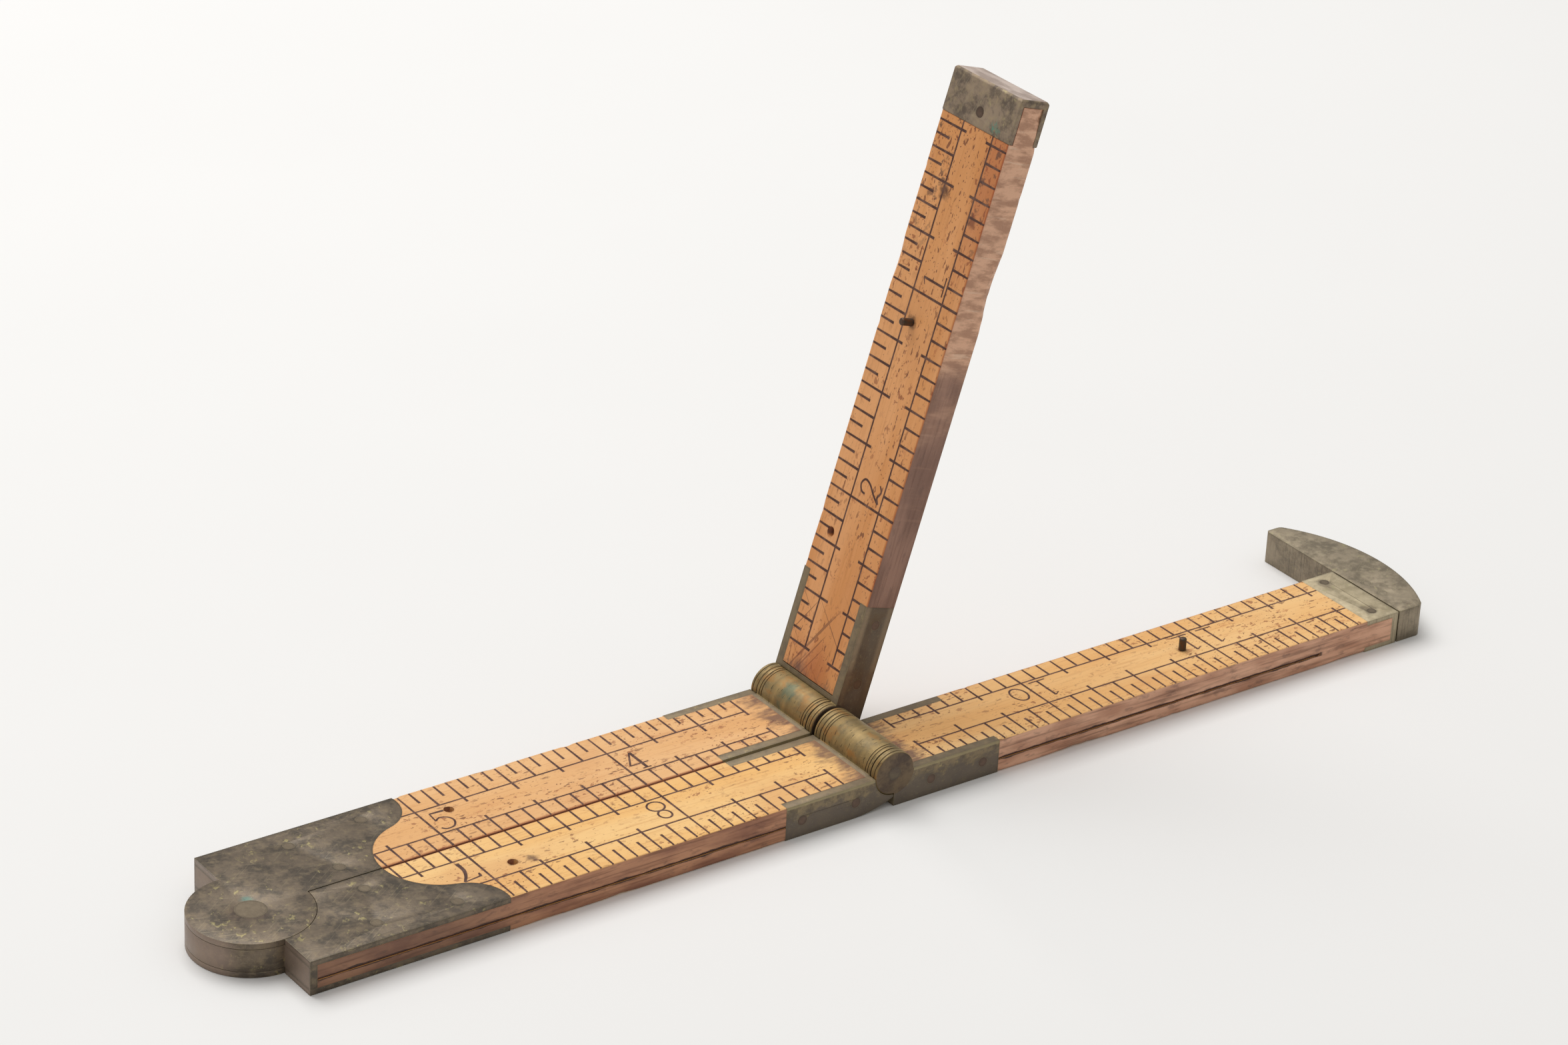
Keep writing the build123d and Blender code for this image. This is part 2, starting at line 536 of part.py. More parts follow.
# Jaw as thick as the leaf: one straight measuring face, and a bow-shaped back that thins
# towards the tip of the hook, which reaches across the end of leaf 1.
with BuildPart() as caliper_jaw:
    with BuildSketch(Plane.XY) as jaw_outline:
        with BuildLine():
            face = Line((JAW_FACE, HOOK_TIP), (JAW_FACE, -LEAF_EDGE))
            near = Line(face @ 1, (JAW_FACE + JAW_NEAR_THICK, -LEAF_EDGE))
            bow = ThreePointArc(
                near @ 1,
                (JAW_FACE + JAW_DEEPEST, JAW_DEEPEST_Y),
                (JAW_FACE + JAW_TIP_THICK, HOOK_TIP),
            )
            Line(bow @ 1, face @ 0)
        make_face()
        fillet(jaw_outline.vertices().group_by(Axis.Y)[0].sort_by(Axis.X)[-1], JAW_ROUND)
        fillet(jaw_outline.vertices().group_by(Axis.Y)[-1].sort_by(Axis.X)[-1], JAW_ROUND)
        fillet(jaw_outline.vertices().group_by(Axis.Y)[-1].sort_by(Axis.X)[0], CORNER)
    extrude(amount=LEAF_THICK)
    with BuildSketch(Plane.YZ.offset(JAW_FACE)):
        add(bar_section.sketch)
    extrude(amount=TENON, mode=Mode.SUBTRACT)
    with BuildSketch(Plane.XY):
        with Locations(*JAW_RIVETS):
            Circle(RIVET_R)
    extrude(amount=LEAF_THICK, mode=Mode.SUBTRACT)
save(caliper_jaw.part, "caliper_jaw")

with BuildPart() as caliper_jaw_rivets:
    with BuildSketch(Plane.XY.offset(BAR_RECESS)):
        with Locations(*JAW_RIVETS):
            Circle(RIVET_R)
    extrude(amount=LEAF_THICK - BAR_RECESS)
save(caliper_jaw_rivets.part, "caliper_jaw_rivets")

# ================================================================ leaf 1, drawn open flat
with BuildPart() as leaf_1_wood:
    with BuildSketch(Plane.XY):
        with Locations(((OUTER_START + SHRINKAGE + TIP_WOOD_END) / 2, LEAF_MIDDLE)):
            Rectangle(TIP_WOOD_END - OUTER_START - SHRINKAGE, LEAF_WIDE)
    extrude(amount=LEAF_THICK)
    fillet(leaf_1_wood.edges().filter_by(Axis.X), EDGE_ROUND)
    with BuildSketch(Plane.XY, Plane.XY.offset(LEAF_THICK - CAP_PLATE)):
        with Locations(((TIP_CAP_START + TIP_WOOD_END) / 2, LEAF_MIDDLE)):
            Rectangle(TIP_WOOD_END - TIP_CAP_START, LEAF_WIDE)
    extrude(amount=CAP_PLATE, mode=Mode.SUBTRACT)
    for low, high in ((0, TONGUE_NEAR), (TONGUE_FAR, LEAF_EDGE)):
        with BuildSketch(Plane.XY):
            with Locations(((STRAP_END + OUTER_START) / 2, (low + high) / 2)):
                Rectangle(STRAP_END - OUTER_START, high - low)
        extrude(amount=LEAF_THICK, mode=Mode.SUBTRACT)
    with BuildSketch(Plane.XZ):
        with Locations(*[(KNUCKLE_X + far, STRAP_RIVET_Z) for far in STRAP_RIVETS]):
            Circle(RIVET_R)
    extrude(amount=-LEAF_EDGE, mode=Mode.SUBTRACT)
    with BuildSketch(Plane.XY):
        with Locations(TIP_RIVET_PLACE):
            Circle(RIVET_R)
    extrude(amount=LEAF_THICK, mode=Mode.SUBTRACT)
    with BuildSketch(Plane.XY.offset(LEAF_THICK)):
        with Locations((KNUCKLE_X + ALIGN_FAR, ALIGN_Y_PLAIN)):
            Circle(ALIGN_R)
    extrude(amount=-ALIGN_SUNK, mode=Mode.SUBTRACT)
    with BuildSketch(Plane.XY.offset(LEAF_THICK)):
        with Locations(PIT):
            Circle(PIT_R)
    extrude(amount=-PIT_DEPTH, mode=Mode.SUBTRACT)
save(raised(leaf_1_wood.part), "leaf_1_wood")

# Brass cap folded over the tip: a plate on each face and one across the end.
with BuildPart() as leaf_1_tip_cap:
    with BuildSketch(Plane.XY):
        with Locations(((TIP_CAP_START + OPEN_END) / 2, LEAF_MIDDLE)):
            Rectangle(TIP_CAP_LENGTH, LEAF_WIDE)
    extrude(amount=LEAF_THICK)
    fillet(leaf_1_tip_cap.faces().sort_by(Axis.X)[-1].edges(), CORNER)
    with BuildSketch(Plane.XY.offset(CAP_PLATE)):
        with Locations(((TIP_CAP_START + TIP_WOOD_END) / 2, LEAF_MIDDLE)):
            Rectangle(TIP_WOOD_END - TIP_CAP_START, LEAF_WIDE)
    extrude(amount=LEAF_THICK - 2 * CAP_PLATE, mode=Mode.SUBTRACT)
    with BuildSketch(Plane.XY):
        with Locations(TIP_RIVET_PLACE):
            Circle(RIVET_R)
    extrude(amount=LEAF_THICK, mode=Mode.SUBTRACT)
save(raised(leaf_1_tip_cap.part), "leaf_1_tip_cap")

with BuildPart() as leaf_1_cap_rivet:
    with BuildSketch(Plane.XY):
        with Locations(TIP_RIVET_PLACE):
            Circle(RIVET_R)
    extrude(amount=LEAF_THICK)
save(raised(leaf_1_cap_rivet.part), "leaf_1_cap_rivet")

with BuildPart() as leaf_1_alignment_pin:
    with BuildSketch(Plane.XY.offset(LEAF_THICK - ALIGN_SUNK)):
        with Locations((KNUCKLE_X + ALIGN_FAR, ALIGN_Y_PLAIN)):
            Circle(ALIGN_R)
    extrude(amount=ALIGN_SUNK + ALIGN_PROUD)
    fillet(leaf_1_alignment_pin.faces().sort_by(Axis.Z)[-1].edges(), ALIGN_R / 2)
save(raised(leaf_1_alignment_pin.part), "leaf_1_alignment_pin")
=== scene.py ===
"""Looks of a worn boxwood caliper rule with patinated brass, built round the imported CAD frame.

Lengths are in metres. "Flat" places are those of a leaf lying open flat: X along the leaf, Y across
the rule from the slit, Z up out of the numbered face. Leaf 1 stands raised at rest, so its flat
places are turned about its knuckle. Every other leaf lies flat at rest.
"""

import json
import math
import random

import bmesh
import bpy
from mathutils import Matrix, Vector, noise


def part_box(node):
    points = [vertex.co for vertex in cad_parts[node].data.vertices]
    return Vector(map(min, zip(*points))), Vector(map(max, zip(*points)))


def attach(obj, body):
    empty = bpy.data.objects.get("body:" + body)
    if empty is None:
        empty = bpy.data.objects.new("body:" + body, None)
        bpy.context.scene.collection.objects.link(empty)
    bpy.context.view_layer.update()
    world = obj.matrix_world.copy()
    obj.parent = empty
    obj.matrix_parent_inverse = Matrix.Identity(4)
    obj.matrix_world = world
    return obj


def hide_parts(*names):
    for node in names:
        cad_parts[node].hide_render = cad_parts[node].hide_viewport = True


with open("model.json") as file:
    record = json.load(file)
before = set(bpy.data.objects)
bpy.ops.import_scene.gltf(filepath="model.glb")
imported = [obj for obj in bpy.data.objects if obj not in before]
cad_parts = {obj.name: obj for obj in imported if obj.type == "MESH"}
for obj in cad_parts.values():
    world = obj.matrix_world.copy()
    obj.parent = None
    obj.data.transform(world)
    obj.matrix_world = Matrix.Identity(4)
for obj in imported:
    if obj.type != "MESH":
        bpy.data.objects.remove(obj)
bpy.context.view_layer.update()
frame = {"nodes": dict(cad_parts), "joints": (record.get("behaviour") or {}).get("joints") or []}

# ---------------------------------------------------------------- sizes, from the frame
MM = 0.001
INCH = 25.4 * MM
JOINTS = {joint["name"]: joint for joint in frame["joints"]}
KNUCKLE = Vector(JOINTS["leaf_1_knuckle"]["pos_m"])
RAISED = math.radians(JOINTS["leaf_1_knuckle"]["range_deg"][1])
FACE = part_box("leaf_3_wood")[1].z
EDGE = -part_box("leaf_3_wood")[0].y
SLIT = -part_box("leaf_3_wood")[1].y
INNER_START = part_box("leaf_3_wood")[0].x
INNER_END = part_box("leaf_3_wood")[1].x
OUTER_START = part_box("leaf_4_wood")[0].x
OUTER_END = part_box("leaf_4_wood")[1].x
KNUCKLE_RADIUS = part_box("leaf_3_hinge_strap")[1].z - KNUCKLE.z
CAP_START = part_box("leaf_4_end_cap")[0].x
MIDDLE_INCH = 6  # the arch joint is in the middle of the foot
SCORE_HEIGHT = 1.75 * MM  # line scored along the outer edges of leaves 3 and 4
SCORE_END = KNUCKLE.x + 64 * MM
WELD_REACH = 0.0005 * MM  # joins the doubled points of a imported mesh

# ---------------------------------------------------------------- scales and numerals
TWELFTHS_LINE = 2.9 * MM  # from the middle of the slit
SIXTEENTHS_LINE = 8.2 * MM
LINE_WIDE = 0.23 * MM
TICK_WIDE = 0.22 * MM
TICK_FOOT = 0.32 * MM  # ticks widen towards their inner end
LONG_TICK = 1.5 * MM  # a half inch runs this far past the line, and an odd mark stops as far short
QUARTER_TICK = 0.9 * MM  # a quarter inch, or every third mark of the twelfths, runs this far past
PAST_EDGE = 0.2 * MM  # marks are drawn past the leaf's edges, and cut off there
KNUCKLE_CLEAR = 2.2 * MM  # scales stop this far short of the knuckle's end of the wood
LINE_SHORT = 1.0 * MM  # and their long lines this much sooner
INK_DEEP = 0.07 * MM
INK_SUNK = 0.012 * MM  # the ink lies this far inside the face
NUMERAL_TALL = 3.7 * MM
NUMERAL_BASE = 3.4 * MM
NUMERAL_GAP = 0.75 * MM  # from the inch line to the nearest stroke
NUMERAL_STROKE = 0.24 * MM
NUMERAL_WIDE = 0.62 * NUMERAL_TALL


class Leaf:
    """One leaf of the rule: its wooden piece, its side of the slit and its stretch of scale."""

    def __init__(self, name, side, start, end, raised=0.0):
        self.name = name
        self.side = side
        self.start = start
        self.end = end
        turn = Matrix.Rotation(-raised, 4, "Y")
        self.to_row = Matrix.Translation(KNUCKLE) @ turn @ Matrix.Translation(-KNUCKLE)
        self.raised = raised
        self.wood = frame["nodes"][f"{name}_wood"]

    def inch_at(self, x):
        """The inch number that belongs at this place along the rule."""
        return round(MIDDLE_INCH - self.side * x / INCH)


LEAVES = (
    Leaf("leaf_1", 1, OUTER_START, OUTER_END, RAISED),
    Leaf("leaf_2", 1, INNER_START, INNER_END),
    Leaf("leaf_3", -1, INNER_START, INNER_END),
    Leaf("leaf_4", -1, OUTER_START, OUTER_END),
)


# ---------------------------------------------------------------- mesh helpers
def new_object(name, builder):
    """A mesh object made from a bmesh, with its faces turned outwards."""
    bmesh.ops.recalc_face_normals(builder, faces=builder.faces)
    mesh = bpy.data.meshes.new(name)
    builder.to_mesh(mesh)
    builder.free()
    return link_object(name, mesh)


def link_object(name, content):
    """An object for a mesh, a camera or a light, at the frame's origin."""
    made = bpy.data.objects.new(name, content)
    bpy.context.scene.collection.objects.link(made)
    return made


def carved(name, mesh, *cuts, crossing=False, packed=False):
    """A new mesh: this one cut by (operation, object) pairs. Crossing shapes overlap themselves.

    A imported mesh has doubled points, which are joined first. Nothing else may be joined, because
    that would fold the thin slivers that a cut leaves.
    """
    work = link_object(name, mesh)
    if packed:
        weld = work.modifiers.new("weld", "WELD")
        weld.merge_threshold = WELD_REACH
    for operation, other in cuts:
        cut = work.modifiers.new(operation, "BOOLEAN")
        cut.operation = operation
        cut.object = other
        cut.solver = "EXACT"
        cut.use_self = crossing
    bpy.context.view_layer.update()
    graph = bpy.context.evaluated_depsgraph_get()
    result = bpy.data.meshes.new_from_object(work.evaluated_get(graph))
    bpy.data.objects.remove(work)
    return result


def prism(builder, outline, low, high):
    """A closed prism over an outline of (x, y) points."""
    bottom = [builder.verts.new((x, y, low)) for x, y in outline]
    top = [builder.verts.new((x, y, high)) for x, y in outline]
    builder.faces.new(list(reversed(bottom)))
    builder.faces.new(top)
    for i in range(len(outline)):
        j = (i + 1) % len(outline)
        builder.faces.new((bottom[i], bottom[j], top[j], top[i]))


def ribbon(points, width, taper=1.0):
    """The outline of a stroke along a line of points; taper is the end's share of the width."""
    left = []
    right = []
    last = len(points) - 1
    for i, (x, y) in enumerate(points):
        before = points[max(i - 1, 0)]
        after = points[min(i + 1, last)]
        along = Vector((after[0] - before[0], after[1] - before[1])).normalized()
        half = width / 2 * (1 + (taper - 1) * i / last)
        left.append((x - along.y * half, y + along.x * half))
        right.append((x + along.y * half, y - along.x * half))
    return left + right[::-1]


def smooth_line(points, steps=6):
    """A smooth curve through a few points."""
    spline = []
    ends = [points[0]] + list(points) + [points[-1]]
    for i in range(1, len(ends) - 2):
        p0, p1, p2, p3 = ends[i - 1 : i + 3]
        for k in range(steps):
            t = k / steps
            spline.append(
                tuple(
                    0.5 * (2 * b + (c - a) * t + (2 * a - 5 * b + 4 * c - d) * t**2
                           + (3 * b - a - 3 * c + d) * t**3)
                    for a, b, c, d in zip(p0, p1, p2, p3)
                )
            )
    return spline + [points[-1]]


def ring_strokes(middle, wide, tall, steps=12):
    """An upright oval as two strokes whose ends overlap, so that neither one crosses itself."""
    strokes = []
    for start in (0.1, 0.1 + math.pi):
        turns = [start + (math.pi + 0.3) * i / steps for i in range(steps + 1)]
        arc = [(middle[0] + wide * math.sin(a), middle[1] + tall * math.cos(a)) for a in turns]
        strokes.append((arc, 1, 1))
    return strokes


TWO_BOW = [(0.1, 0.72), (0.14, 0.9), (0.34, 1.0), (0.53, 0.86)]
TWO_BOW += [(0.46, 0.6), (0.2, 0.3), (0.02, 0.03)]
FIVE_BOWL = [(0.08, 0.56), (0.28, 0.68), (0.52, 0.56), (0.58, 0.32)]
FIVE_BOWL += [(0.42, 0.06), (0.14, 0.02), (0.02, 0.14)]

# The pen strokes of each numeral in a box one unit tall: (points, width factor, taper).
# The inches 3, 6 and 9 fall on the joints, so those digits never appear.
NUMERALS = {
    "0": ring_strokes((0.3, 0.42), 0.27, 0.38),
    "1": [
        ([(0.3, 1.0), (0.3, 0.0)], 1.2, 1),
        ([(0.0, 0.0), (0.62, 0.0)], 0.8, 1),
        ([(0.3, 1.0), (0.1, 0.88)], 0.8, 0.5),
    ],
    "2": [
        (smooth_line(TWO_BOW), 1.0, 1.2),
        (smooth_line([(0.02, 0.03), (0.2, 0.13), (0.42, 0.02), (0.6, 0.14)]), 1.4, 0.6),
    ],
    "4": [
        ([(0.4, 1.0), (0.0, 0.3)], 0.9, 1),
        ([(0.0, 0.3), (0.66, 0.3)], 0.9, 1),
        ([(0.42, 1.0), (0.42, 0.0)], 1.6, 1),
        ([(0.27, 0.0), (0.57, 0.0)], 0.8, 1),
    ],
    "5": [
        ([(0.12, 1.0), (0.6, 0.98)], 1.0, 1.6),
        ([(0.12, 1.0), (0.08, 0.56)], 0.8, 1),
        (smooth_line(FIVE_BOWL), 1.0, 1),
    ],
    "7": [
        ([(0.02, 0.93), (0.62, 1.0)], 1.0, 0.8),
        ([(0.04, 0.94), (0.0, 0.76)], 1.5, 0.6),
        (smooth_line([(0.62, 1.0), (0.42, 0.72), (0.3, 0.4), (0.3, 0.0)]), 1.2, 1.8),
    ],
    "8": ring_strokes((0.3, 0.27), 0.28, 0.27) + ring_strokes((0.3, 0.78), 0.21, 0.23),
}


# ---------------------------------------------------------------- worn wood
WEAR_STEP = 0.4 * MM
WEAR_LEAST = 0.12 * MM
WEAR_FLAT = 0.03 * MM  # the wear shape stands this far outside unworn faces
WEAR_WAVE = 7 * MM  # length of the soft waves
SLIT_WEAR = 0.16 * MM  # depth of the waves along the slit
OUTER_WEAR = 0.8 * MM  # and along the outer edges
NICK_DEEP = 0.7 * MM
ROUNDING = 0.26  # where a worn edge's middle lies, as a share of its cut


def edge_wear(leaf, x, corner):
    """How far one long edge of a leaf is worn away at a place: soft waves and a few nicks."""
    place = Vector((x / WEAR_WAVE, corner * 9.1, leaf.side + leaf.raised))
    waves = max(0.0, noise.noise(place))
    nicks = max(0.0, noise.noise(place * 4.3) - 0.25)
    at_slit = corner % 2 == 0
    depth = WEAR_LEAST + (SLIT_WEAR if at_slit else OUTER_WEAR) * waves + NICK_DEEP * nicks
    if leaf.raised and at_slit:
        far = min(max(0.0, (x - KNUCKLE.x) / INCH - 1.2), 1.0)
        most = 0.4 * MM if corner == 0 else 1.5 * MM
        depth += far * most * (0.15 + waves)
    return depth


def wear_shape(leaf):
    """A long closed shape that a leaf's wood is cut back to, so that its edges are worn."""
    builder = bmesh.new()
    steps = math.ceil((leaf.end - leaf.start + 2 * MM) / WEAR_STEP)
    near = leaf.side * SLIT
    far = leaf.side * EDGE
    corners = ((near, FACE, -1, 1), (far, FACE, 1, 1), (far, 0.0, 1, -1), (near, 0.0, -1, -1))
    rings = []
    for i in range(steps + 1):
        x = leaf.start - MM + i * WEAR_STEP
        ring = []
        for number, (y, z, out, up) in enumerate(corners):
            out *= leaf.side
            cut = edge_wear(leaf, x, (0, 1, 3, 2)[number])
            side_point = (y + out * WEAR_FLAT, z - up * cut)
            face_point = (y - out * cut, z + up * WEAR_FLAT)
            middle = (y - out * cut * ROUNDING, z - up * cut * ROUNDING)
            trio = [side_point, middle, face_point]
            if number % 2 == 1:
                trio.reverse()
            ring += [builder.verts.new((x, yy, zz)) for yy, zz in trio]
        rings.append(ring)
    for first, second in zip(rings, rings[1:]):
        for k in range(len(first)):
            j = (k + 1) % len(first)
            builder.faces.new((first[k], first[j], second[j], second[k]))
    builder.faces.new(rings[0])
    builder.faces.new(rings[-1])
    return new_object(f"{leaf.name}_wear", builder)


# ---------------------------------------------------------------- scales
def tick(marks, leaf, x, outer, inner):
    """One graduation across the leaf, wider at its inner end."""
    wobble = marks.random.uniform(-0.02, 0.02) * MM
    y0, y1 = leaf.side * outer, leaf.side * inner
    half0, half1 = TICK_WIDE / 2, TICK_FOOT / 2
    marks.outlines.append(
        [(x - half0, y0), (x + half0, y0), (x + wobble + half1, y1), (x + wobble - half1, y1)]
    )


class Marks:
    """The outlines of every inked mark on one face, with its own repeatable small unevenness."""

    def __init__(self, seed):
        self.random = random.Random(seed)
        self.outlines = []


def divisions(per_inch, start, end):
    """(index, place) of each division of a scale that lies on a stretch of the rule."""
    first = math.ceil(start / INCH * per_inch)
    last = math.floor(end / INCH * per_inch)
    return [(k, k * INCH / per_inch) for k in range(first, last + 1)]


def scale_stretch(leaf):
    """Where the scales run on a leaf: they stop a little short of the knuckle."""
    if leaf.start < KNUCKLE.x:
        return leaf.start, leaf.end - KNUCKLE_CLEAR
    return leaf.start + KNUCKLE_CLEAR, leaf.end


def tick_end(k, fine):
    """Where a graduation of the outer scale ends; the rounder its fraction, the further in."""
    if k % fine == 0:
        return SLIT - PAST_EDGE
    if k % (fine // 2) == 0:
        return SIXTEENTHS_LINE - LONG_TICK
    if k % (fine // 4) == 0:
        return SIXTEENTHS_LINE - QUARTER_TICK
    if k % 2 == 0:
        return SIXTEENTHS_LINE
    return SIXTEENTHS_LINE + LONG_TICK


def draw_scales(marks, leaf, fine, coarse):
    """Two scales of graduations, one at each long edge, with their long lines."""
    start, end = scale_stretch(leaf)
    for k, x in divisions(fine, start, end):
        tick(marks, leaf, x, EDGE + PAST_EDGE, tick_end(k, fine))
    for k, x in divisions(coarse, start, end):
        if k % coarse:
            overshoot = QUARTER_TICK if k % 3 == 0 else 0.0
            tick(marks, leaf, x, SLIT - PAST_EDGE, TWELFTHS_LINE + overshoot)
    for y in (TWELFTHS_LINE, SIXTEENTHS_LINE):
        line_start = start + LINE_SHORT if start > KNUCKLE.x else start
        line_end = end - LINE_SHORT if start < KNUCKLE.x else end
        line = [(line_start, leaf.side * y), (line_end, leaf.side * y)]
        marks.outlines.append(ribbon(line, LINE_WIDE))


def draw_numeral(marks, leaf, digit, x):
    """One digit whose left edge is at x, upright for a reader on the slit side of the leaf."""
    for points, width, taper in NUMERALS[digit]:
        place = [
            (x + leaf.side * px * NUMERAL_TALL, leaf.side * (NUMERAL_BASE + py * NUMERAL_TALL))
            for px, py in points
        ]
        marks.outlines.append(ribbon(place, NUMERAL_STROKE * width, taper))


def draw_numerals(marks, leaf):
    """The inch numbers: one digit stands beside its line, two stand on both sides of it."""
    for _, x in divisions(1, leaf.start, leaf.end):
        number = str(leaf.inch_at(x))
        if len(number) == 2:
            draw_numeral(marks, leaf, number[0], x - leaf.side * (NUMERAL_GAP + NUMERAL_WIDE))
        draw_numeral(marks, leaf, number[-1], x + leaf.side * NUMERAL_GAP)


def add_marks(builder, marks, level):
    """Prisms over the marks of one face, through the face at this level."""
    for outline in marks.outlines:
        prism(builder, outline, level - INK_DEEP, level + INK_DEEP)


def thinned(mesh):
    """A leaf's wood, drawn in towards its middle from both faces to the level of the ink."""
    middle = Matrix.Translation((0, 0, FACE / 2))
    thinner = Matrix.Diagonal((1, 1, 1 - 2 * INK_SUNK / FACE, 1))
    sunk = mesh.copy()
    sunk.transform(middle @ thinner @ middle.inverted())
    return link_object("sunk", sunk)


def join_leaf(leaf, name, mesh, paint):
    """Brings a flat mesh to where its leaf stands and makes it part of that body."""
    mesh.transform(leaf.to_row)
    piece = link_object(f"{leaf.name}_{name}", mesh)
    dress(piece, paint)
    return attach(piece, leaf.name)


def mark_leaf(leaf, wood_paint, ink):
    """Wears a leaf's wood, engraves both its faces and fills the engraving with ink.

    All the cutting is done on the leaf lying flat, where its faces are exactly level.
    """
    flat = leaf.wood.data.copy()
    flat.transform(leaf.to_row.inverted())
    wear = wear_shape(leaf)
    worn = carved("worn", flat, ("INTERSECT", wear), packed=True)
    sunk = thinned(worn)
    cutter = bmesh.new()
    for face, level, fine in (("top", FACE, 16), ("under", 0.0, 8)):
        marks = Marks(f"{leaf.name} {face}")
        draw_scales(marks, leaf, fine, 12)
        draw_numerals(marks, leaf)
        add_marks(cutter, marks, level)
        inked = bmesh.new()
        add_marks(inked, marks, level)
        shape = new_object("marks", inked)
        filling = carved("ink", shape.data, ("INTERSECT", sunk), crossing=True)
        bpy.data.objects.remove(shape)
        join_leaf(leaf, f"{face}_scale", filling, ink)
    engraving = new_object("engraving", cutter)
    engraved = carved("engraved", worn, ("DIFFERENCE", engraving), crossing=True)
    wood = join_leaf(leaf, "worn_wood", engraved, wood_paint)
    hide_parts(leaf.wood.name)
    for spare in (wear, sunk, engraving):
        bpy.data.objects.remove(spare)
    return wood


# ---------------------------------------------------------------- material helper
def linear(part):
    """A shader's value for one screen value between 0 and 1."""
    return part / 12.92 if part <= 0.04045 else ((part + 0.055) / 1.055) ** 2.4


def colour(code):
    """A shader colour from a hexadecimal screen colour."""
    return tuple(linear(int(code[i : i + 2], 16) / 255) for i in (0, 2, 4)) + (1.0,)


class Paint:
    """One material under construction. Each method adds a node and returns its result."""

    def __init__(self, name, raised=0.0):
        self.material = bpy.data.materials.new(name)
        self.material.use_nodes = True
        self.tree = self.material.node_tree
        self.tree.nodes.clear()
        coordinates = self.tree.nodes.new("ShaderNodeTexCoord")
        self.place = coordinates.outputs["Object"]
        self.normal = coordinates.outputs["Normal"]
        if raised:
            centre = tuple(KNUCKLE)
            self.place = self.add("VectorRotate", {"rotation_type": "Y_AXIS"},
                                  Vector=self.place, Center=centre, Angle=raised)
            self.normal = self.add("VectorRotate", {"rotation_type": "Y_AXIS"},
                                   Vector=self.normal, Angle=raised)
        self.x, self.y, self.z = self.split(self.place)
        self.across = self.split(self.normal)

    def add(self, kind, settings=None, **feeds):
        """A shader node with these settings and inputs; returns its first output."""
        node = self.tree.nodes.new("ShaderNode" + kind)
        for name, value in (settings or {}).items():
            setattr(node, name, value)
        for name, value in feeds.items():
            self.feed(node.inputs[name.replace("_", " ")], value)
        return node.outputs[0]

    def feed(self, socket, value):
        """Links a node's output to an input, or sets the input to a plain value."""
        if isinstance(value, bpy.types.NodeSocket):
            self.tree.links.new(value, socket)
        else:
            socket.default_value = value

    def split(self, vector):
        """The X, Y and Z of a vector."""
        node = self.tree.nodes.new("ShaderNodeSeparateXYZ")
        self.feed(node.inputs[0], vector)
        return node.outputs[0], node.outputs[1], node.outputs[2]

    def maths(self, operation, first, second=0.0):
        """The result of a maths operation on one or two values."""
        node = self.tree.nodes.new("ShaderNodeMath")
        node.operation = operation
        self.feed(node.inputs[0], first)
        self.feed(node.inputs[1], second)
        return node.outputs[0]

    def times(self, first, second):
        """The product of two values."""
        return self.maths("MULTIPLY", first, second)

    def step(self, value, low, high):
        """0 below low, 1 above high and smooth between; low may be the larger."""
        node = self.tree.nodes.new("ShaderNodeMapRange")
        node.interpolation_type = "SMOOTHSTEP"
        flip = low > high
        self.feed(node.inputs[0], value)
        self.feed(node.inputs[1], min(low, high))
        self.feed(node.inputs[2], max(low, high))
        self.feed(node.inputs[3], 1.0 if flip else 0.0)
        self.feed(node.inputs[4], 0.0 if flip else 1.0)
        return node.outputs[0]

    def mix(self, share, first, second):
        """The first colour where the share is 0, and the second where it is 1."""
        return self.add("MixRGB", None, Fac=share, Color1=first, Color2=second)

    def over(self, base, code, mask, strength):
        """The base with a colour laid over it where the mask is 1, at this strength."""
        return self.mix(self.times(mask, strength), base, colour(code))

    def scatter(self, size, stretch=(1, 1, 1), detail=3.0, rough=0.55, seed=0.0, turn=0.0):
        """Noise with features of this size; stretch below 1 draws them out along that axis."""
        place = self.place
        if turn:
            place = self.add("VectorRotate", {"rotation_type": "Z_AXIS"}, Vector=place, Angle=turn)
        moved = self.add("VectorMath", {"operation": "MULTIPLY_ADD"}, Vector=place)
        node = moved.node
        node.inputs[1].default_value = tuple(s / size for s in stretch)
        node.inputs[2].default_value = (seed, seed * 1.7, seed * 0.6)
        return self.add("TexNoise", None, Vector=moved, Scale=1.0, Detail=detail, Roughness=rough)

    def distance(self, first, second):
        """The length of a line that runs this far in two directions."""
        squares = self.times(first, first), self.times(second, second)
        return self.maths("SQRT", self.maths("ADD", *squares))

    def spot(self, x, y, radius, soft=0.5, rough=0.0):
        """A round patch about a flat place, with a broken edge if rough is above 0."""
        far = self.distance(self.maths("SUBTRACT", self.x, x), self.maths("SUBTRACT", self.y, y))
        if rough:
            uneven = self.maths("SUBTRACT", self.scatter(radius * 0.8), 0.5)
            far = self.maths("ADD", far, self.times(uneven, rough * radius * 4))
        return self.step(far, radius, radius * (1 - soft))

    def rim(self, radius, inner, outer):
        """1 on sharp edges and 0 away from them."""
        rounded = self.add("Bevel", {"samples": 4}, Radius=radius)
        true_normal = self.tree.nodes.new("ShaderNodeNewGeometry").outputs["Normal"]
        agree = self.tree.nodes.new("ShaderNodeVectorMath")
        agree.operation = "DOT_PRODUCT"
        self.feed(agree.inputs[0], rounded)
        self.feed(agree.inputs[1], true_normal)
        return self.step(agree.outputs["Value"], inner, outer)

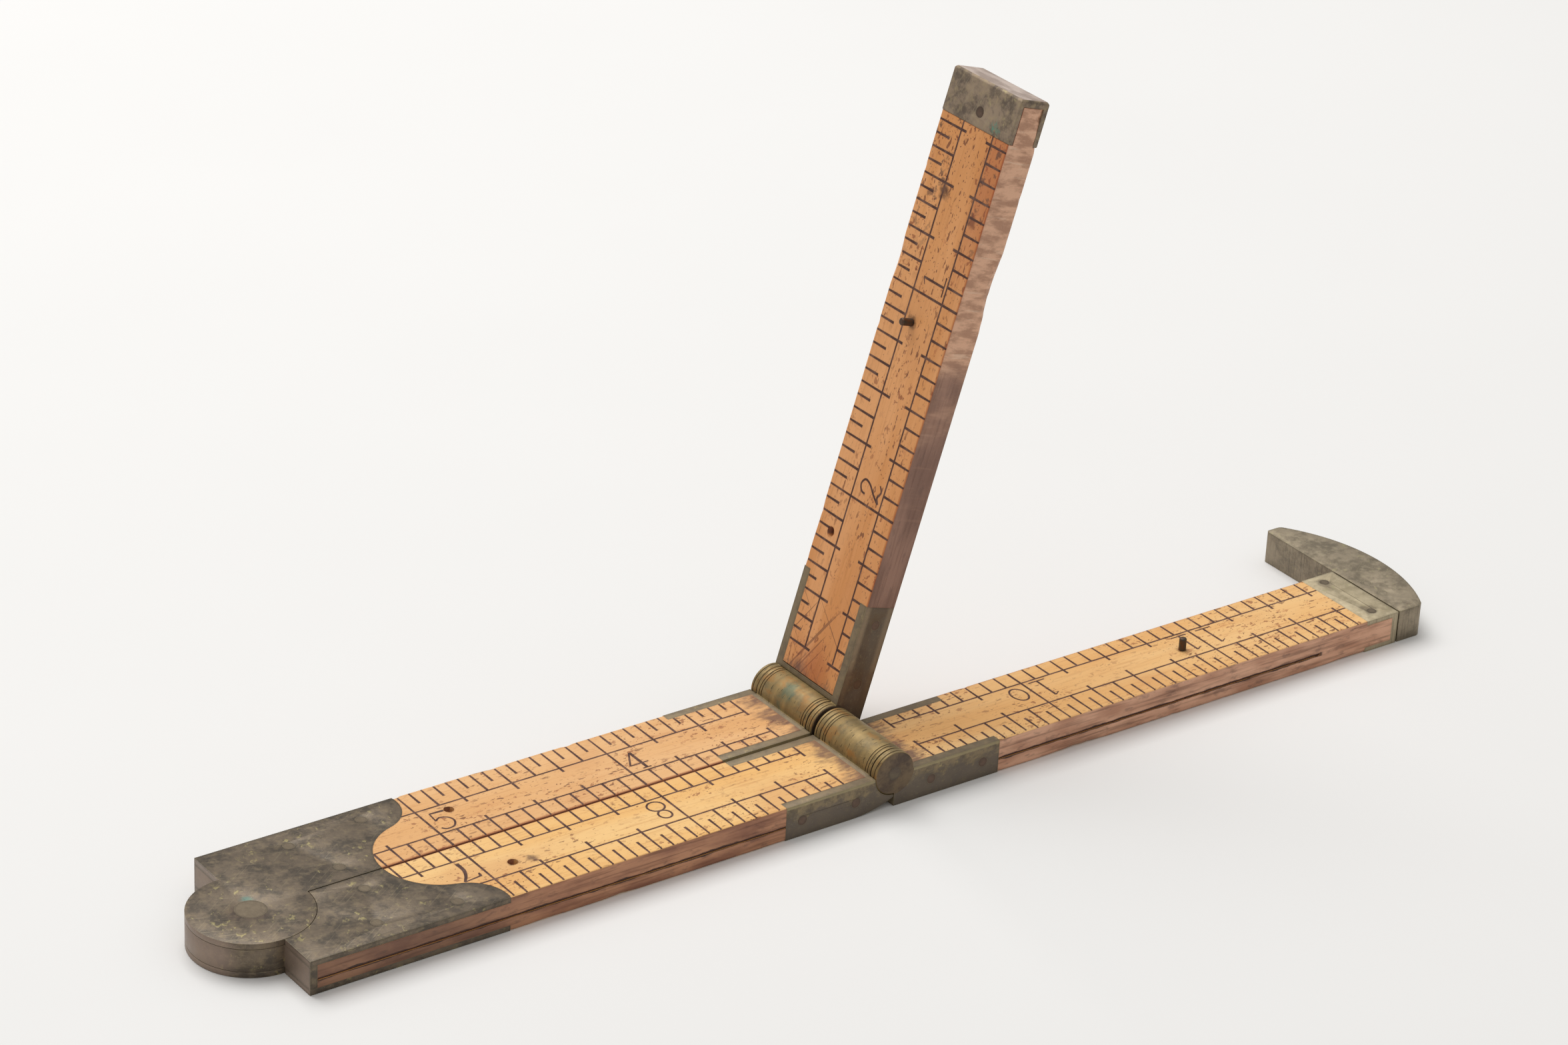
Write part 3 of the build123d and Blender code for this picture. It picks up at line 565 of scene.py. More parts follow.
    def finish(self, base, rough, metal=0.0, height=None, height_size=0.02 * MM, sheen=0.5):
        """The finished material: one surface, with a height as faint relief if there is one."""
        surface = self.tree.nodes.new("ShaderNodeBsdfPrincipled")
        self.feed(surface.inputs["Base Color"], base)
        self.feed(surface.inputs["Roughness"], rough)
        self.feed(surface.inputs["Metallic"], metal)
        self.feed(surface.inputs["Specular IOR Level"], sheen)
        if height is not None:
            bump = self.add("Bump", None, Height=height, Distance=height_size, Strength=1.0)
            self.feed(surface.inputs["Normal"], bump)
        output = self.tree.nodes.new("ShaderNodeOutputMaterial")
        self.tree.links.new(surface.outputs[0], output.inputs["Surface"])
        return self.material


# ---------------------------------------------------------------- materials
# The numbers below set the looks: sizes of features in millimetres, the noise levels between which
# a mark appears, and how strongly each colour is laid on.
def boxwood(leaf, pale, deep, spots):
    """Old varnished boxwood: fine grain along the leaf, dark flecks, red-brown edges and grime."""
    paint = Paint(f"{leaf.name}_boxwood", leaf.raised)
    fibre = paint.scatter(0.35 * MM, (0.05, 1, 1), detail=2, seed=5.0)
    fleck = wood_flecks(paint)
    face = wood_face(paint, leaf, pale, deep, fibre)
    face = paint.over(face, "6a3624", fleck, 0.75)
    if leaf.raised:
        near_base = paint.step(paint.x, KNUCKLE.x + 16 * MM, KNUCKLE.x + 10 * MM)
        scratch = paint.times(wood_scratches(paint), near_base)
        face = paint.over(face, "6b4030", scratch, 0.6)
    numbered = paint.step(paint.across[2], 0.0, 0.5)
    for x, y, radius, code, strength in spots:
        patch = paint.times(paint.spot(x, y, radius, 0.8, 0.35), strength)
        face = paint.over(face, code, patch, numbered)
    if leaf.raised:
        face = tip_stains(paint, face)
    face = paint.mix(knuckle_grime(paint, leaf), face, colour("725448"))
    sideways = paint.step(paint.maths("ABSOLUTE", paint.across[1]), 0.55, 0.85)
    base = paint.mix(sideways, face, wood_edge(paint, fibre, *EDGE_TINTS[leaf.name]))
    base = slit_colours(paint, leaf, base, sideways)
    rim = paint.rim(0.22 * MM, 0.97, 0.8)
    base = paint.over(base, "84482c", rim, 0.45)
    height = paint.maths("ADD", paint.times(fibre, 0.5), paint.times(fleck, -0.8))
    rough = paint.maths("ADD", paint.times(fibre, 0.25), 0.4)
    return paint.finish(base, rough, height=height, height_size=0.03 * MM, sheen=0.35)


def slit_colours(paint, leaf, base, sideways):
    """Redder wood along the slit between the leaves: a red stain on the faces beside it, and the
    edges in it darker red, partly stain and partly painted shade of the narrow slit.
    """
    beside_slit = paint.step(paint.maths("ABSOLUTE", paint.y), 1.2 * MM, 0.9 * MM)
    at_slit = paint.times(sideways, beside_slit)
    if leaf.raised:
        base = worn_slit_side(paint, base, at_slit)
    else:
        # Painted shade: the edges in the slit are darkened over their red stain, as shade in the
        # narrow gap between the leaves.
        base = paint.over(base, "7a3520", at_slit, 0.5)
    near_slit = paint.step(paint.maths("ABSOLUTE", paint.y), 0.5 * MM, 0.1 * MM)
    facing = paint.maths("SUBTRACT", 1.0, sideways)
    near_slit = paint.times(near_slit, facing)
    base = paint.over(base, "a03a1f", near_slit, 0.6)
    return base


def wood_face(paint, leaf, pale, deep, fibre):
    """The colour of a face: broad figure, fine fibre and slightly redder blotches."""
    figure = paint.scatter(5 * MM, (0.12, 1, 1), detail=4, seed=leaf.side * 3.0)
    blotch = paint.scatter(9 * MM, (0.5, 1, 1), detail=4, seed=7.0)
    face = paint.mix(paint.step(figure, 0.36, 0.66), colour(pale), colour(deep))
    dark_fibre = paint.times(paint.step(fibre, 0.5, 0.8), 0.4)
    face = paint.mix(dark_fibre, face, colour("b8763f"))
    face = paint.over(face, "d39058", paint.step(blotch, 0.48, 0.7), 0.4)
    stain = paint.scatter(1.1 * MM, (0.6, 1, 1), detail=5, rough=0.7, seed=6.0)
    stain = paint.times(paint.step(stain, 0.6, 0.68), fleck_share(paint))
    face = paint.over(face, "b0633c", stain, 0.5)
    speck = paint.step(paint.scatter(0.75 * MM, (0.8, 1, 1), detail=4, seed=8.0), 0.61, 0.66)
    speck = paint.times(speck, fleck_share(paint))
    return paint.over(face, "8d4a2c", speck, 0.7)


def wood_flecks(paint):
    """Small dark pores and dashes along the grain, thicker in some places than in others."""
    dash = paint.step(paint.scatter(0.55 * MM, (0.4, 1, 1), detail=2, seed=2.0), 0.62, 0.68)
    pore = paint.step(paint.scatter(0.26 * MM, (0.7, 1, 1), detail=1, seed=12.0), 0.68, 0.74)
    return paint.times(paint.maths("MAXIMUM", dash, pore), fleck_share(paint))


def fleck_share(paint):
    """How thickly the wood is flecked: in clouds, and more towards the open ends of the rule."""
    open_end = paint.step(paint.x, KNUCKLE.x + 35 * MM, KNUCKLE.x + 72 * MM)
    cloud = paint.scatter(6 * MM, (0.6, 1, 1), detail=3, seed=4.0)
    cloud = paint.maths("ADD", cloud, paint.times(open_end, 0.22))
    return paint.maths("ADD", paint.times(paint.step(cloud, 0.4, 0.62), 0.85), 0.15)


def tip_stains(paint, face):
    """Leaf 1 near its tip: redder along the slit, and dark smudges on both scales."""
    at_tip = paint.step(paint.x, KNUCKLE.x + 48 * MM, KNUCKLE.x + 66 * MM)
    redder = paint.times(paint.step(paint.y, 3.8 * MM, 2.2 * MM), at_tip)
    face = paint.over(face, "b2603c", redder, 0.5)
    off_middle = paint.maths("ABSOLUTE", paint.maths("SUBTRACT", paint.y, 5.6 * MM))
    on_scale = paint.times(paint.step(off_middle, 2.0 * MM, 3.2 * MM), at_tip)
    cloud = paint.scatter(1.5 * MM, (0.8, 1, 1), detail=4, rough=0.65, seed=29.0)
    smudge = paint.times(paint.step(cloud, 0.56, 0.64), on_scale)
    return paint.over(face, "5b4036", smudge, 0.75)


def scratches(paint, size, stretch, detail, sets):
    """Straight scratches, the strongest of two sets: (seed, turn, noise levels of its edge)."""
    lines = []
    for seed, turn, low, high in sets:
        streak = paint.scatter(size, (stretch, 1, 1), detail=detail, seed=seed, turn=turn)
        lines.append(paint.step(streak, low, high))
    return paint.maths("MAXIMUM", *lines)


def wood_scratches(paint):
    """Fine scratches in two slanting directions."""
    sets = ((14.0, 0.55, 0.73, 0.77), (17.0, -0.9, 0.74, 0.78))
    return scratches(paint, 0.3 * MM, 0.02, 0, sets)


def knuckle_grime(paint, leaf):
    """Dark ragged staining of the wood beside the knuckle."""
    cross_plate = abs((INNER_END if leaf.start < KNUCKLE.x else OUTER_START) - KNUCKLE.x)
    from_knuckle = paint.maths("ABSOLUTE", paint.maths("SUBTRACT", paint.x, KNUCKLE.x))
    cloud = paint.scatter(2.4 * MM, (0.8, 1, 1), detail=3, seed=9.0)
    hair = paint.scatter(0.35 * MM, (0.3, 1, 1), detail=3, seed=19.0)
    ragged = paint.maths("ADD", paint.times(cloud, 7 * MM), paint.times(hair, 4 * MM))
    reach = paint.maths("SUBTRACT", from_knuckle, ragged)
    narrow = 1.4 * MM if leaf.raised else 0.0
    grime = paint.step(reach, cross_plate - 2.6 * MM - narrow, cross_plate - 5.6 * MM - narrow)
    return paint.times(grime, 0.85)


def wood_edge(paint, fibre, pale, deep):
    """The long edges: red-brown and darkened by handling, with one scored line."""
    rub = paint.scatter(2.2 * MM, (0.3, 1, 1), detail=5, seed=11.0)
    edge = paint.mix(paint.step(rub, 0.35, 0.68), colour(pale), colour(deep))
    edge = paint.over(edge, "64402f", paint.step(fibre, 0.45, 0.75), 0.55)
    smear = paint.step(paint.scatter(0.7 * MM, (0.4, 1, 1), detail=4, seed=13.0), 0.55, 0.7)
    edge = paint.over(edge, "5a4038", smear, 0.4)
    at_arch = paint.step(paint.x, 32 * MM, 16 * MM)
    edge = paint.over(edge, "4d4239", at_arch, 0.45)
    from_line = paint.maths("ABSOLUTE", paint.maths("SUBTRACT", paint.z, SCORE_HEIGHT))
    uneven = paint.times(paint.scatter(0.9 * MM, (0.4, 1, 1), detail=3, seed=15.0), 0.5 * MM)
    outer = paint.step(paint.times(paint.y, -1.0), EDGE - 0.4 * MM, EDGE - 0.3 * MM)
    scored = paint.step(paint.x, SCORE_END + 0.5 * MM, SCORE_END)
    near = paint.step(paint.maths("SUBTRACT", from_line, uneven), 0.02 * MM, -0.1 * MM)
    line = paint.times(near, outer)
    return paint.over(edge, "31251f", line, scored)


def worn_slit_side(paint, base, at_slit):
    """Leaf 1's edge at the slit: mauve-brown below, bare and pale with cross scratches above."""
    wander = paint.times(paint.scatter(6 * MM, (1, 1, 0.3), detail=5, seed=21.0), 30 * MM)
    height = paint.maths("ADD", paint.x, wander)
    bare = paint.step(height, KNUCKLE.x + 50 * MM, KNUCKLE.x + 62 * MM)
    streak = paint.scatter(1.0 * MM, (1, 1, 0.3), detail=5, rough=0.65, seed=23.0)
    pale = paint.mix(paint.step(streak, 0.4, 0.62), colour("e8b796"), colour("bb8d71"))
    cut = paint.step(paint.scatter(0.8 * MM, (1, 1, 0.1), detail=3, seed=27.0, turn=0.2), 0.6, 0.68)
    pale = paint.over(pale, "efd0b4", cut, 0.4)
    base = paint.over(base, "84675a", at_slit, 0.5)
    below = paint.step(height, KNUCKLE.x + 36 * MM, KNUCKLE.x + 52 * MM)
    low_cut = paint.times(paint.times(cut, at_slit), below)
    base = paint.over(base, "d0a284", low_cut, 0.2)
    return paint.mix(paint.times(at_slit, bare), base, pale)


def ink_paint():
    """Old black ink, faded to a dark purple-brown."""
    paint = Paint("scale_ink")
    fade = paint.scatter(1.2 * MM, detail=4, seed=1.0)
    base = paint.mix(paint.step(fade, 0.4, 0.75), colour("533a33"), colour("7a5c50"))
    return paint.finish(base, 0.6, sheen=0.2)


def brass_colours(paint, dark, middle, light, fleck):
    """Mottled patina: broad clouds, finer blotches and bright flecks where it is scraped."""
    cloud = paint.scatter(3.2 * MM, detail=6, rough=0.7, seed=31.0)
    blotch = paint.scatter(0.9 * MM, detail=5, rough=0.65, seed=37.0)
    base = paint.mix(paint.step(cloud, 0.38, 0.58), colour(dark), colour(middle))
    base = paint.over(base, light, paint.step(blotch, 0.46, 0.7), 0.6)
    base = paint.over(base, dark, paint.step(blotch, 0.44, 0.3), 0.5)
    scrape = paint.scatter(0.7 * MM, (1, 0.7, 1), detail=4, seed=41.0, turn=0.5)
    bright = paint.step(scrape, 0.58, 0.7)
    zone = paint.step(paint.scatter(5 * MM, detail=3, seed=43.0), 0.46, 0.58)
    bright = paint.times(bright, zone)
    return paint.over(base, fleck, bright, 0.7), blotch, bright


def fine_scratches(paint, base, code, strength):
    """Hair-fine scratches in two directions."""
    sets = ((47.0, 0.35, 0.64, 0.7), (49.0, -0.6, 0.66, 0.72))
    return paint.over(base, code, scratches(paint, 0.2 * MM, 0.04, 1, sets), strength)


def brass_rims(paint, base, dark, light, border=0.55, rubbed=0.6):
    """A darker border beside each edge, and the edge itself made bright: partly rubbed brass,
    partly a painted highlight where the rounded edge catches the light.
    """
    border = paint.times(paint.rim(0.5 * MM, 0.995, 0.9), border)
    # The bright edge colour is part wear and part painted highlight.
    rubbed = paint.times(paint.rim(0.18 * MM, 0.95, 0.8), rubbed)
    return paint.mix(rubbed, paint.mix(border, base, colour(dark)), colour(light))


def brass_surface(paint, base, blotch, proud, dullness=0.28):
    """Brass dulled by handling, with the blotches and the proud marks as faint relief."""
    rough = paint.maths("ADD", paint.times(blotch, 0.3), dullness)
    height = paint.maths("ADD", blotch, paint.times(proud, 0.5))
    return paint.finish(base, rough, metal=0.5, height=height, height_size=0.03 * MM)


def arch_brass():
    """The arch joint's plates and cores: dark brown-olive patina with yellow flecks."""
    paint = Paint("arch_brass")
    base, blotch, bright = brass_colours(paint, "534a3f", "756756", "897960", "ada06e")
    base = fine_scratches(paint, base, "978a70", 0.3)
    teal = paint.spot(0.6 * MM, 2.0 * MM, 1.0 * MM, 0.95, 0.3)
    red = paint.spot(-0.6 * MM, -0.4 * MM, 2.8 * MM, 0.95, 0.3)
    base = paint.over(base, "73594f", red, 0.5)
    base = paint.over(base, "4c7a70", teal, 0.6)
    facing_start = paint.step(paint.across[0], -0.6, -0.85)
    base = paint.over(base, "a18b7c", facing_start, 0.6)
    beyond_disc = paint.step(paint.distance(paint.x, paint.y), 7.6 * MM, 8.6 * MM)
    base = brass_rims(paint, base, "433f36", "8f8268", paint.times(beyond_disc, 0.7))
    return brass_surface(paint, base, blotch, bright)


def tip_brass():
    """Leaf 1's tip cap: rubbed, with its end face painted pale as a reflection of the light above,
    and a spot of verdigris.
    """
    paint = Paint("tip_cap_brass", RAISED)
    base, blotch, bright = brass_colours(paint, "6f6154", "a28e78", "b3a07e", "bdae82")
    base = fine_scratches(paint, base, "a59a80", 0.3)
    crust = paint.step(paint.scatter(0.45 * MM, detail=4, rough=0.7, seed=35.0), 0.42, 0.56)
    green = paint.times(paint.spot(KNUCKLE.x + 71.8 * MM, 3.2 * MM, 1.0 * MM, 0.7, 0.6), crust)
    green = paint.times(green, paint.step(paint.across[2], 0.0, 0.5))
    base = paint.over(base, "649683", green, 0.85)
    # Painted reflection: the end face is laid over with pale, streaked colour, as if it reflected
    # the light above.
    tip = paint.step(paint.across[0], 0.9, 0.98)
    streak = paint.step(paint.scatter(2.0 * MM, (1, 0.5, 1), detail=4, seed=45.0), 0.4, 0.65)
    pale = paint.mix(streak, colour("dccbc0"), colour("b3a196"))
    base = paint.mix(paint.times(tip, 0.9), base, pale)
    base = brass_rims(paint, base, "5a5146", "a59878", 0.35, 0.12)
    return brass_surface(paint, base, blotch, bright, 0.5)


def strap_brass(leaf, raised=0.0):
    """The hinge straps: black patina in patches on the sides, rubbed brass on the knuckle, and
    bright edges on the sides that are part wear and part painted highlight.
    """
    paint = Paint(f"{leaf}_strap_brass", raised)
    base, blotch, bright = brass_colours(paint, "665a4a", "8d7c60", "a8946e", "bfae78")
    sideways = paint.step(paint.maths("ABSOLUTE", paint.across[1]), 0.6, 0.8)
    from_middle = paint.maths("ABSOLUTE", paint.maths("SUBTRACT", paint.z, FACE / 2))
    if raised:
        base = raised_strap_side(paint, base, sideways, from_middle)
    patch = paint.scatter(1.7 * MM, (0.8, 1, 1.2), detail=6, rough=0.72, seed=53.0)
    high = paint.times(paint.step(paint.z, 0.8 * MM, 4.2 * MM), 0.3)
    patina = paint.step(paint.maths("SUBTRACT", patch, high), 0.24, 0.38)
    patina = paint.times(patina, 0.35 if raised else 0.85)
    base = paint.over(base, "6c6156", patina, sideways)
    base = fine_scratches(paint, base, "8d8267", 0.3)
    top = paint.step(paint.across[2], 0.6, 0.85)
    base = paint.over(base, "8a7a62", top, 0.5)
    dx = paint.maths("SUBTRACT", paint.x, KNUCKLE.x)
    dz = paint.maths("SUBTRACT", paint.z, KNUCKLE.z)
    from_axis = paint.maths("SUBTRACT", paint.distance(dx, dz), KNUCKLE_RADIUS)
    on_knuckle = paint.step(from_axis, 0.08 * MM, 0.03 * MM)
    if not raised:
        # Painted highlight: a bright line along the top of each side, where the worn edge catches
        # the light from above.
        worn_upper_edge_highlight = paint.step(paint.z, FACE - 0.45 * MM, FACE - 0.25 * MM)
        worn_upper_edge_highlight = paint.times(worn_upper_edge_highlight, sideways)
        base = paint.over(base, "b3a47c", worn_upper_edge_highlight, 0.7)
    base = paint.mix(on_knuckle, base, barrel_colours(paint, sideways))
    off_knuckle = paint.maths("SUBTRACT", 1.0, on_knuckle)
    border = paint.times(off_knuckle, 0.4)
    # The bright edges are part wear and part painted highlight; the knuckle gets neither border nor
    # bright edge.
    rubbed = paint.times(off_knuckle, 0.5)
    base = brass_rims(paint, base, "433e34", "b3a57a", border, rubbed)
    return brass_surface(paint, base, blotch, bright, 0.4)


def raised_strap_side(paint, base, sideways, from_middle):
    """The sides of leaf 1's strap: brown, rubbed at both borders and rusty by the knuckle."""
    worn_border = paint.step(from_middle, 1.0 * MM, 1.6 * MM)
    side = paint.mix(worn_border, colour("5f5043"), colour("9c8870"))
    rusty = paint.step(paint.x, KNUCKLE.x + 7.5 * MM, KNUCKLE.x + 6.5 * MM)
    side = paint.over(side, "664a3a", rusty, 0.7)
    return paint.mix(paint.times(sideways, 0.75), base, side)


def barrel_colours(paint, sideways):
    """Brighter brass round the knuckle, with dark nicks; the ends of the ears are dull brown."""
    band = paint.scatter(0.9 * MM, (0.06, 1, 0.06), detail=3, seed=61.0)
    base = paint.mix(paint.step(band, 0.3, 0.75), colour("a68d5d"), colour("8b774f"))
    cloud = paint.scatter(2.5 * MM, detail=5, rough=0.65, seed=67.0)
    base = paint.over(base, "75694f", paint.step(cloud, 0.45, 0.65), 0.6)
    golden = paint.step(paint.scatter(1.6 * MM, (1, 0.5, 1), detail=5, seed=69.0), 0.52, 0.66)
    base = paint.over(base, "a9793f", golden, 0.6)
    nick = paint.step(paint.scatter(0.42 * MM, (0.35, 1.6, 0.35), detail=2, seed=71.0), 0.63, 0.69)
    base = paint.over(base, "3f3827", nick, 0.7)
    green = paint.spot(KNUCKLE.x - 1.3 * MM, 6.4 * MM, 1.5 * MM, 0.7, 0.5)
    base = paint.over(base, "4f6b5c", green, 0.6)
    end = paint.mix(paint.step(cloud, 0.38, 0.62), colour("54453a"), colour("77644c"))
    return paint.mix(sideways, base, end)


def caliper_brass(name, dark, middle, light):
    """The caliper's jaw and bar, and leaf 4's end cap: dull greenish brass with file marks."""
    paint = Paint(name)
    base, blotch, _ = brass_colours(paint, dark, middle, light, "b9ae86")
    file_mark = paint.scatter(0.25 * MM, (1, 1, 0.05), detail=2, seed=73.0)
    sides = paint.step(paint.across[2], 0.6, 0.2)
    marked = paint.times(paint.step(file_mark, 0.5, 0.7), sides)
    base = paint.over(base, "564c3c", marked, 0.4)
    base = paint.over(base, "5c5145", sides, 0.3)
    base = fine_scratches(paint, base, "aca080", 0.25)
    for x, y in ((CAP_START + 2.3 * MM, -10.0 * MM), (CAP_START + 2.1 * MM, -2.0 * MM)):
        stain = paint.spot(x, y, 1.3 * MM, 0.5, 0.4)
        base = paint.over(base, "6b5a4a", stain, 0.45)
    base = brass_rims(paint, base, "5b5544", "b0a482", 0.5)
    return brass_surface(paint, base, blotch, marked)


def rivet_brass(name, pale, deep):
    """A rivet's head: close to the brass round it, a little redder."""
    paint = Paint(name)
    stain = paint.scatter(0.8 * MM, detail=4, seed=79.0)
    base = paint.mix(paint.step(stain, 0.35, 0.65), colour(pale), colour(deep))
    base = brass_rims(paint, base, "40382f", deep)
    return paint.finish(base, 0.42, metal=0.5, height=stain, height_size=0.03 * MM)


def pin_steel():
    """The small alignment pins: dark, rusty steel."""
    paint = Paint("pin_steel")
    rust = paint.scatter(0.5 * MM, detail=4, seed=83.0)
    base = paint.mix(paint.step(rust, 0.4, 0.65), colour("4b4740"), colour("5f4330"))
    return paint.finish(base, 0.45, metal=0.6, height=rust, height_size=0.03 * MM)


# ---------------------------------------------------------------- finish of the CAD pieces
def shading_by_angle(name, limit):
    """A geometry group that keeps edges sharper than a limit crisp and smooths the rest."""
    group = bpy.data.node_groups.new(name, "GeometryNodeTree")
    group.interface.new_socket("Geometry", in_out="INPUT", socket_type="NodeSocketGeometry")
    group.interface.new_socket("Geometry", in_out="OUTPUT", socket_type="NodeSocketGeometry")
    entry = group.nodes.new("NodeGroupInput")
    leave = group.nodes.new("NodeGroupOutput")
    smooth_all = group.nodes.new("GeometryNodeSetShadeSmooth")
    sharp = group.nodes.new("GeometryNodeSetShadeSmooth")
    sharp.domain = "EDGE"
    sharp.inputs["Shade Smooth"].default_value = False
    angle = group.nodes.new("GeometryNodeInputMeshEdgeAngle")
    above = group.nodes.new("FunctionNodeCompare")
    above.data_type = "FLOAT"
    above.operation = "GREATER_THAN"
    above.inputs[1].default_value = limit
    group.links.new(entry.outputs[0], smooth_all.inputs["Geometry"])
    group.links.new(smooth_all.outputs[0], sharp.inputs["Geometry"])
    group.links.new(angle.outputs["Unsigned Angle"], above.inputs[0])
    group.links.new(above.outputs[0], sharp.inputs["Selection"])
    group.links.new(sharp.outputs[0], leave.inputs[0])
    return group


def add_shading(piece, group):
    """Shades a piece smooth or crisp by the angles of its edges."""
    shading = piece.modifiers.new("shading", "NODES")
    shading.node_group = group


BRASS_CRISP = math.radians(32)  # edges sharper than this stay crisp
WOOD_CRISP = math.radians(8)
BEVEL_FROM = math.radians(35)  # and edges sharper than this are rounded


def soften(piece, width, shading):
    """Rounds the edges of a CAD piece with a small bevel, as a modifier, and shades it."""
    weld = piece.modifiers.new("weld", "WELD")
    weld.merge_threshold = WELD_REACH
    bevel = piece.modifiers.new("soft_edges", "BEVEL")
    bevel.width = width
    bevel.segments = 2
    bevel.limit_method = "ANGLE"
    bevel.angle_limit = BEVEL_FROM
    add_shading(piece, shading)


def dress(piece, material):
    """Gives a piece one material in all its slots."""
    piece.data.materials.clear()
    piece.data.materials.append(material)


# Stains on the numbered faces, at flat places: (x, y, radius, colour, strength).
SPOTS = {
    "leaf_1": [
        (KNUCKLE.x + 3.6 * MM, 6 * MM, 5.5 * MM, "b05c34", 0.5),
        (KNUCKLE.x + 20.3 * MM, 9.7 * MM, 0.75 * MM, "2a1c16", 1.0),
        (KNUCKLE.x + 47.2 * MM, 6.9 * MM, 1.0 * MM, "3c261b", 0.9),
        (KNUCKLE.x + 62.5 * MM, 8.0 * MM, 1.2 * MM, "4f3527", 0.8),
        (KNUCKLE.x + 61.0 * MM, 2.2 * MM, 1.0 * MM, "4f3527", 0.8),
    ],
    "leaf_2": [(29 * MM, 6.9 * MM, 0.85 * MM, "39271f", 1.0)],
    "leaf_3": [
        (29 * MM, -6.2 * MM, 0.9 * MM, "39271f", 1.0),
        (31.3 * MM, -6.6 * MM, 1.0 * MM, "5f4234", 0.8),
    ],
    "leaf_4": [(KNUCKLE.x + 47.2 * MM, -6.2 * MM, 0.9 * MM, "8a6136", 0.7)],
}
# The wood's paler and deeper colour on the faces, and on the long edges.
TINTS = {
    "leaf_1": ("ebaa70", "dd9758"),
    "leaf_2": ("f0bd83", "e8b072"),
    "leaf_3": ("f9cc88", "f5c076"),
    "leaf_4": ("f4c585", "edb570"),
}
EDGE_TINTS = {
    "leaf_1": ("b88c76", "8b6553"),
    "leaf_2": ("c08a68", "96644c"),
    "leaf_3": ("c48e6b", "97664e"),
    "leaf_4": ("e4b191", "bd896c"),
}


def small_paints(jaw):
    """(part of a name, material) for rivets and pins. The first that fits a name counts."""
    side_rivet = rivet_brass("side_rivet", "5f4c3f", "6c5647")
    face_rivet = rivet_brass("face_rivet", "71634f", "7a6c57")
    knuckle_end = rivet_brass("knuckle_end", "5a4c40", "675a47")
    return (
        ("strap_rivets", side_rivet),
        ("leaf_1_cap_rivet", side_rivet),
        ("jaw_rivets", jaw),
        ("rivets", face_rivet),
        ("arch_pivot_pin", face_rivet),
        ("knuckle_pin", knuckle_end),
        ("alignment_pin", pin_steel()),
    )


def large_paints(jaw):
    """(part of a name, material, width of rounded edges) for the larger brass pieces."""
    arch = arch_brass()
    straps = [
        (f"{leaf.name}_hinge_strap", strap_brass(leaf.name, leaf.raised), 0.09 * MM)
        for leaf in LEAVES
    ]
    return straps + [
        ("tip_cap", tip_brass(), 0.1 * MM),
        ("caliper", jaw, 0.1 * MM),
        ("end_cap", caliper_brass("end_cap_brass", "b1a282", "cbbb9a", "d5c6a6"), 0.05 * MM),
        ("arch_plate", arch, 0.035 * MM),
        ("arch_core", arch, 0.035 * MM),
    ]


def finish_pieces():
    """Materials and softened edges for every CAD piece, and wear and scales for the wood."""
    shading = shading_by_angle("brass_shading", BRASS_CRISP)
    wood_shading = shading_by_angle("wood_shading", WOOD_CRISP)
    ink = ink_paint()
    jaw = caliper_brass("jaw_brass", "857965", "a99a82", "b6a88e")
    small = small_paints(jaw)
    large = large_paints(jaw)
    for name, node in frame["nodes"].items():
        if name.endswith("_wood"):
            continue
        small_paint = next((paint for part, paint in small if part in name), None)
        if small_paint:
            dress(node, small_paint)
            continue
        paint, width = next((paint, width) for part, paint, width in large if part in name)
        dress(node, paint)
        soften(node, width, shading)
    for leaf in LEAVES:
        paint = boxwood(leaf, *TINTS[leaf.name], SPOTS[leaf.name])
        add_shading(mark_leaf(leaf, paint, ink), wood_shading)


# ---------------------------------------------------------------- studio
CAMERA_AZIMUTH = math.radians(-36.83)
CAMERA_ELEVATION = math.radians(26.88)
CAMERA_ROLL = math.radians(2.93)
CAMERA_TARGET = Vector((106.7 * MM, 51.7 * MM, 0.0))
CAMERA_DISTANCE = 603.3 * MM
CAMERA_LENS = 109.8  # millimetres
CAMERA_SENSOR = 36.0
FLOOR_HALF = 4.0
FLOOR_LEVEL = -0.02 * MM


def add_camera():
    """A long lens from the front left, a little above the rule."""
    az, el, roll = CAMERA_AZIMUTH, CAMERA_ELEVATION, CAMERA_ROLL
    back = Vector((math.sin(az) * math.cos(el), -math.cos(az) * math.cos(el), math.sin(el)))
    right = Vector((math.cos(az), math.sin(az), 0.0))
    up = back.cross(right)
    across = right * math.cos(roll) + up * math.sin(roll)
    upward = up * math.cos(roll) - right * math.sin(roll)
    camera = link_object("camera", bpy.data.cameras.new("camera"))
    camera.data.sensor_width = CAMERA_SENSOR
    camera.data.lens = CAMERA_LENS
    camera.data.clip_start = 0.05
    camera.data.clip_end = 20.0
    turn = Matrix((across, upward, back)).transposed().to_4x4()
    camera.matrix_world = Matrix.Translation(CAMERA_TARGET + back * CAMERA_DISTANCE) @ turn
    bpy.context.scene.camera = camera


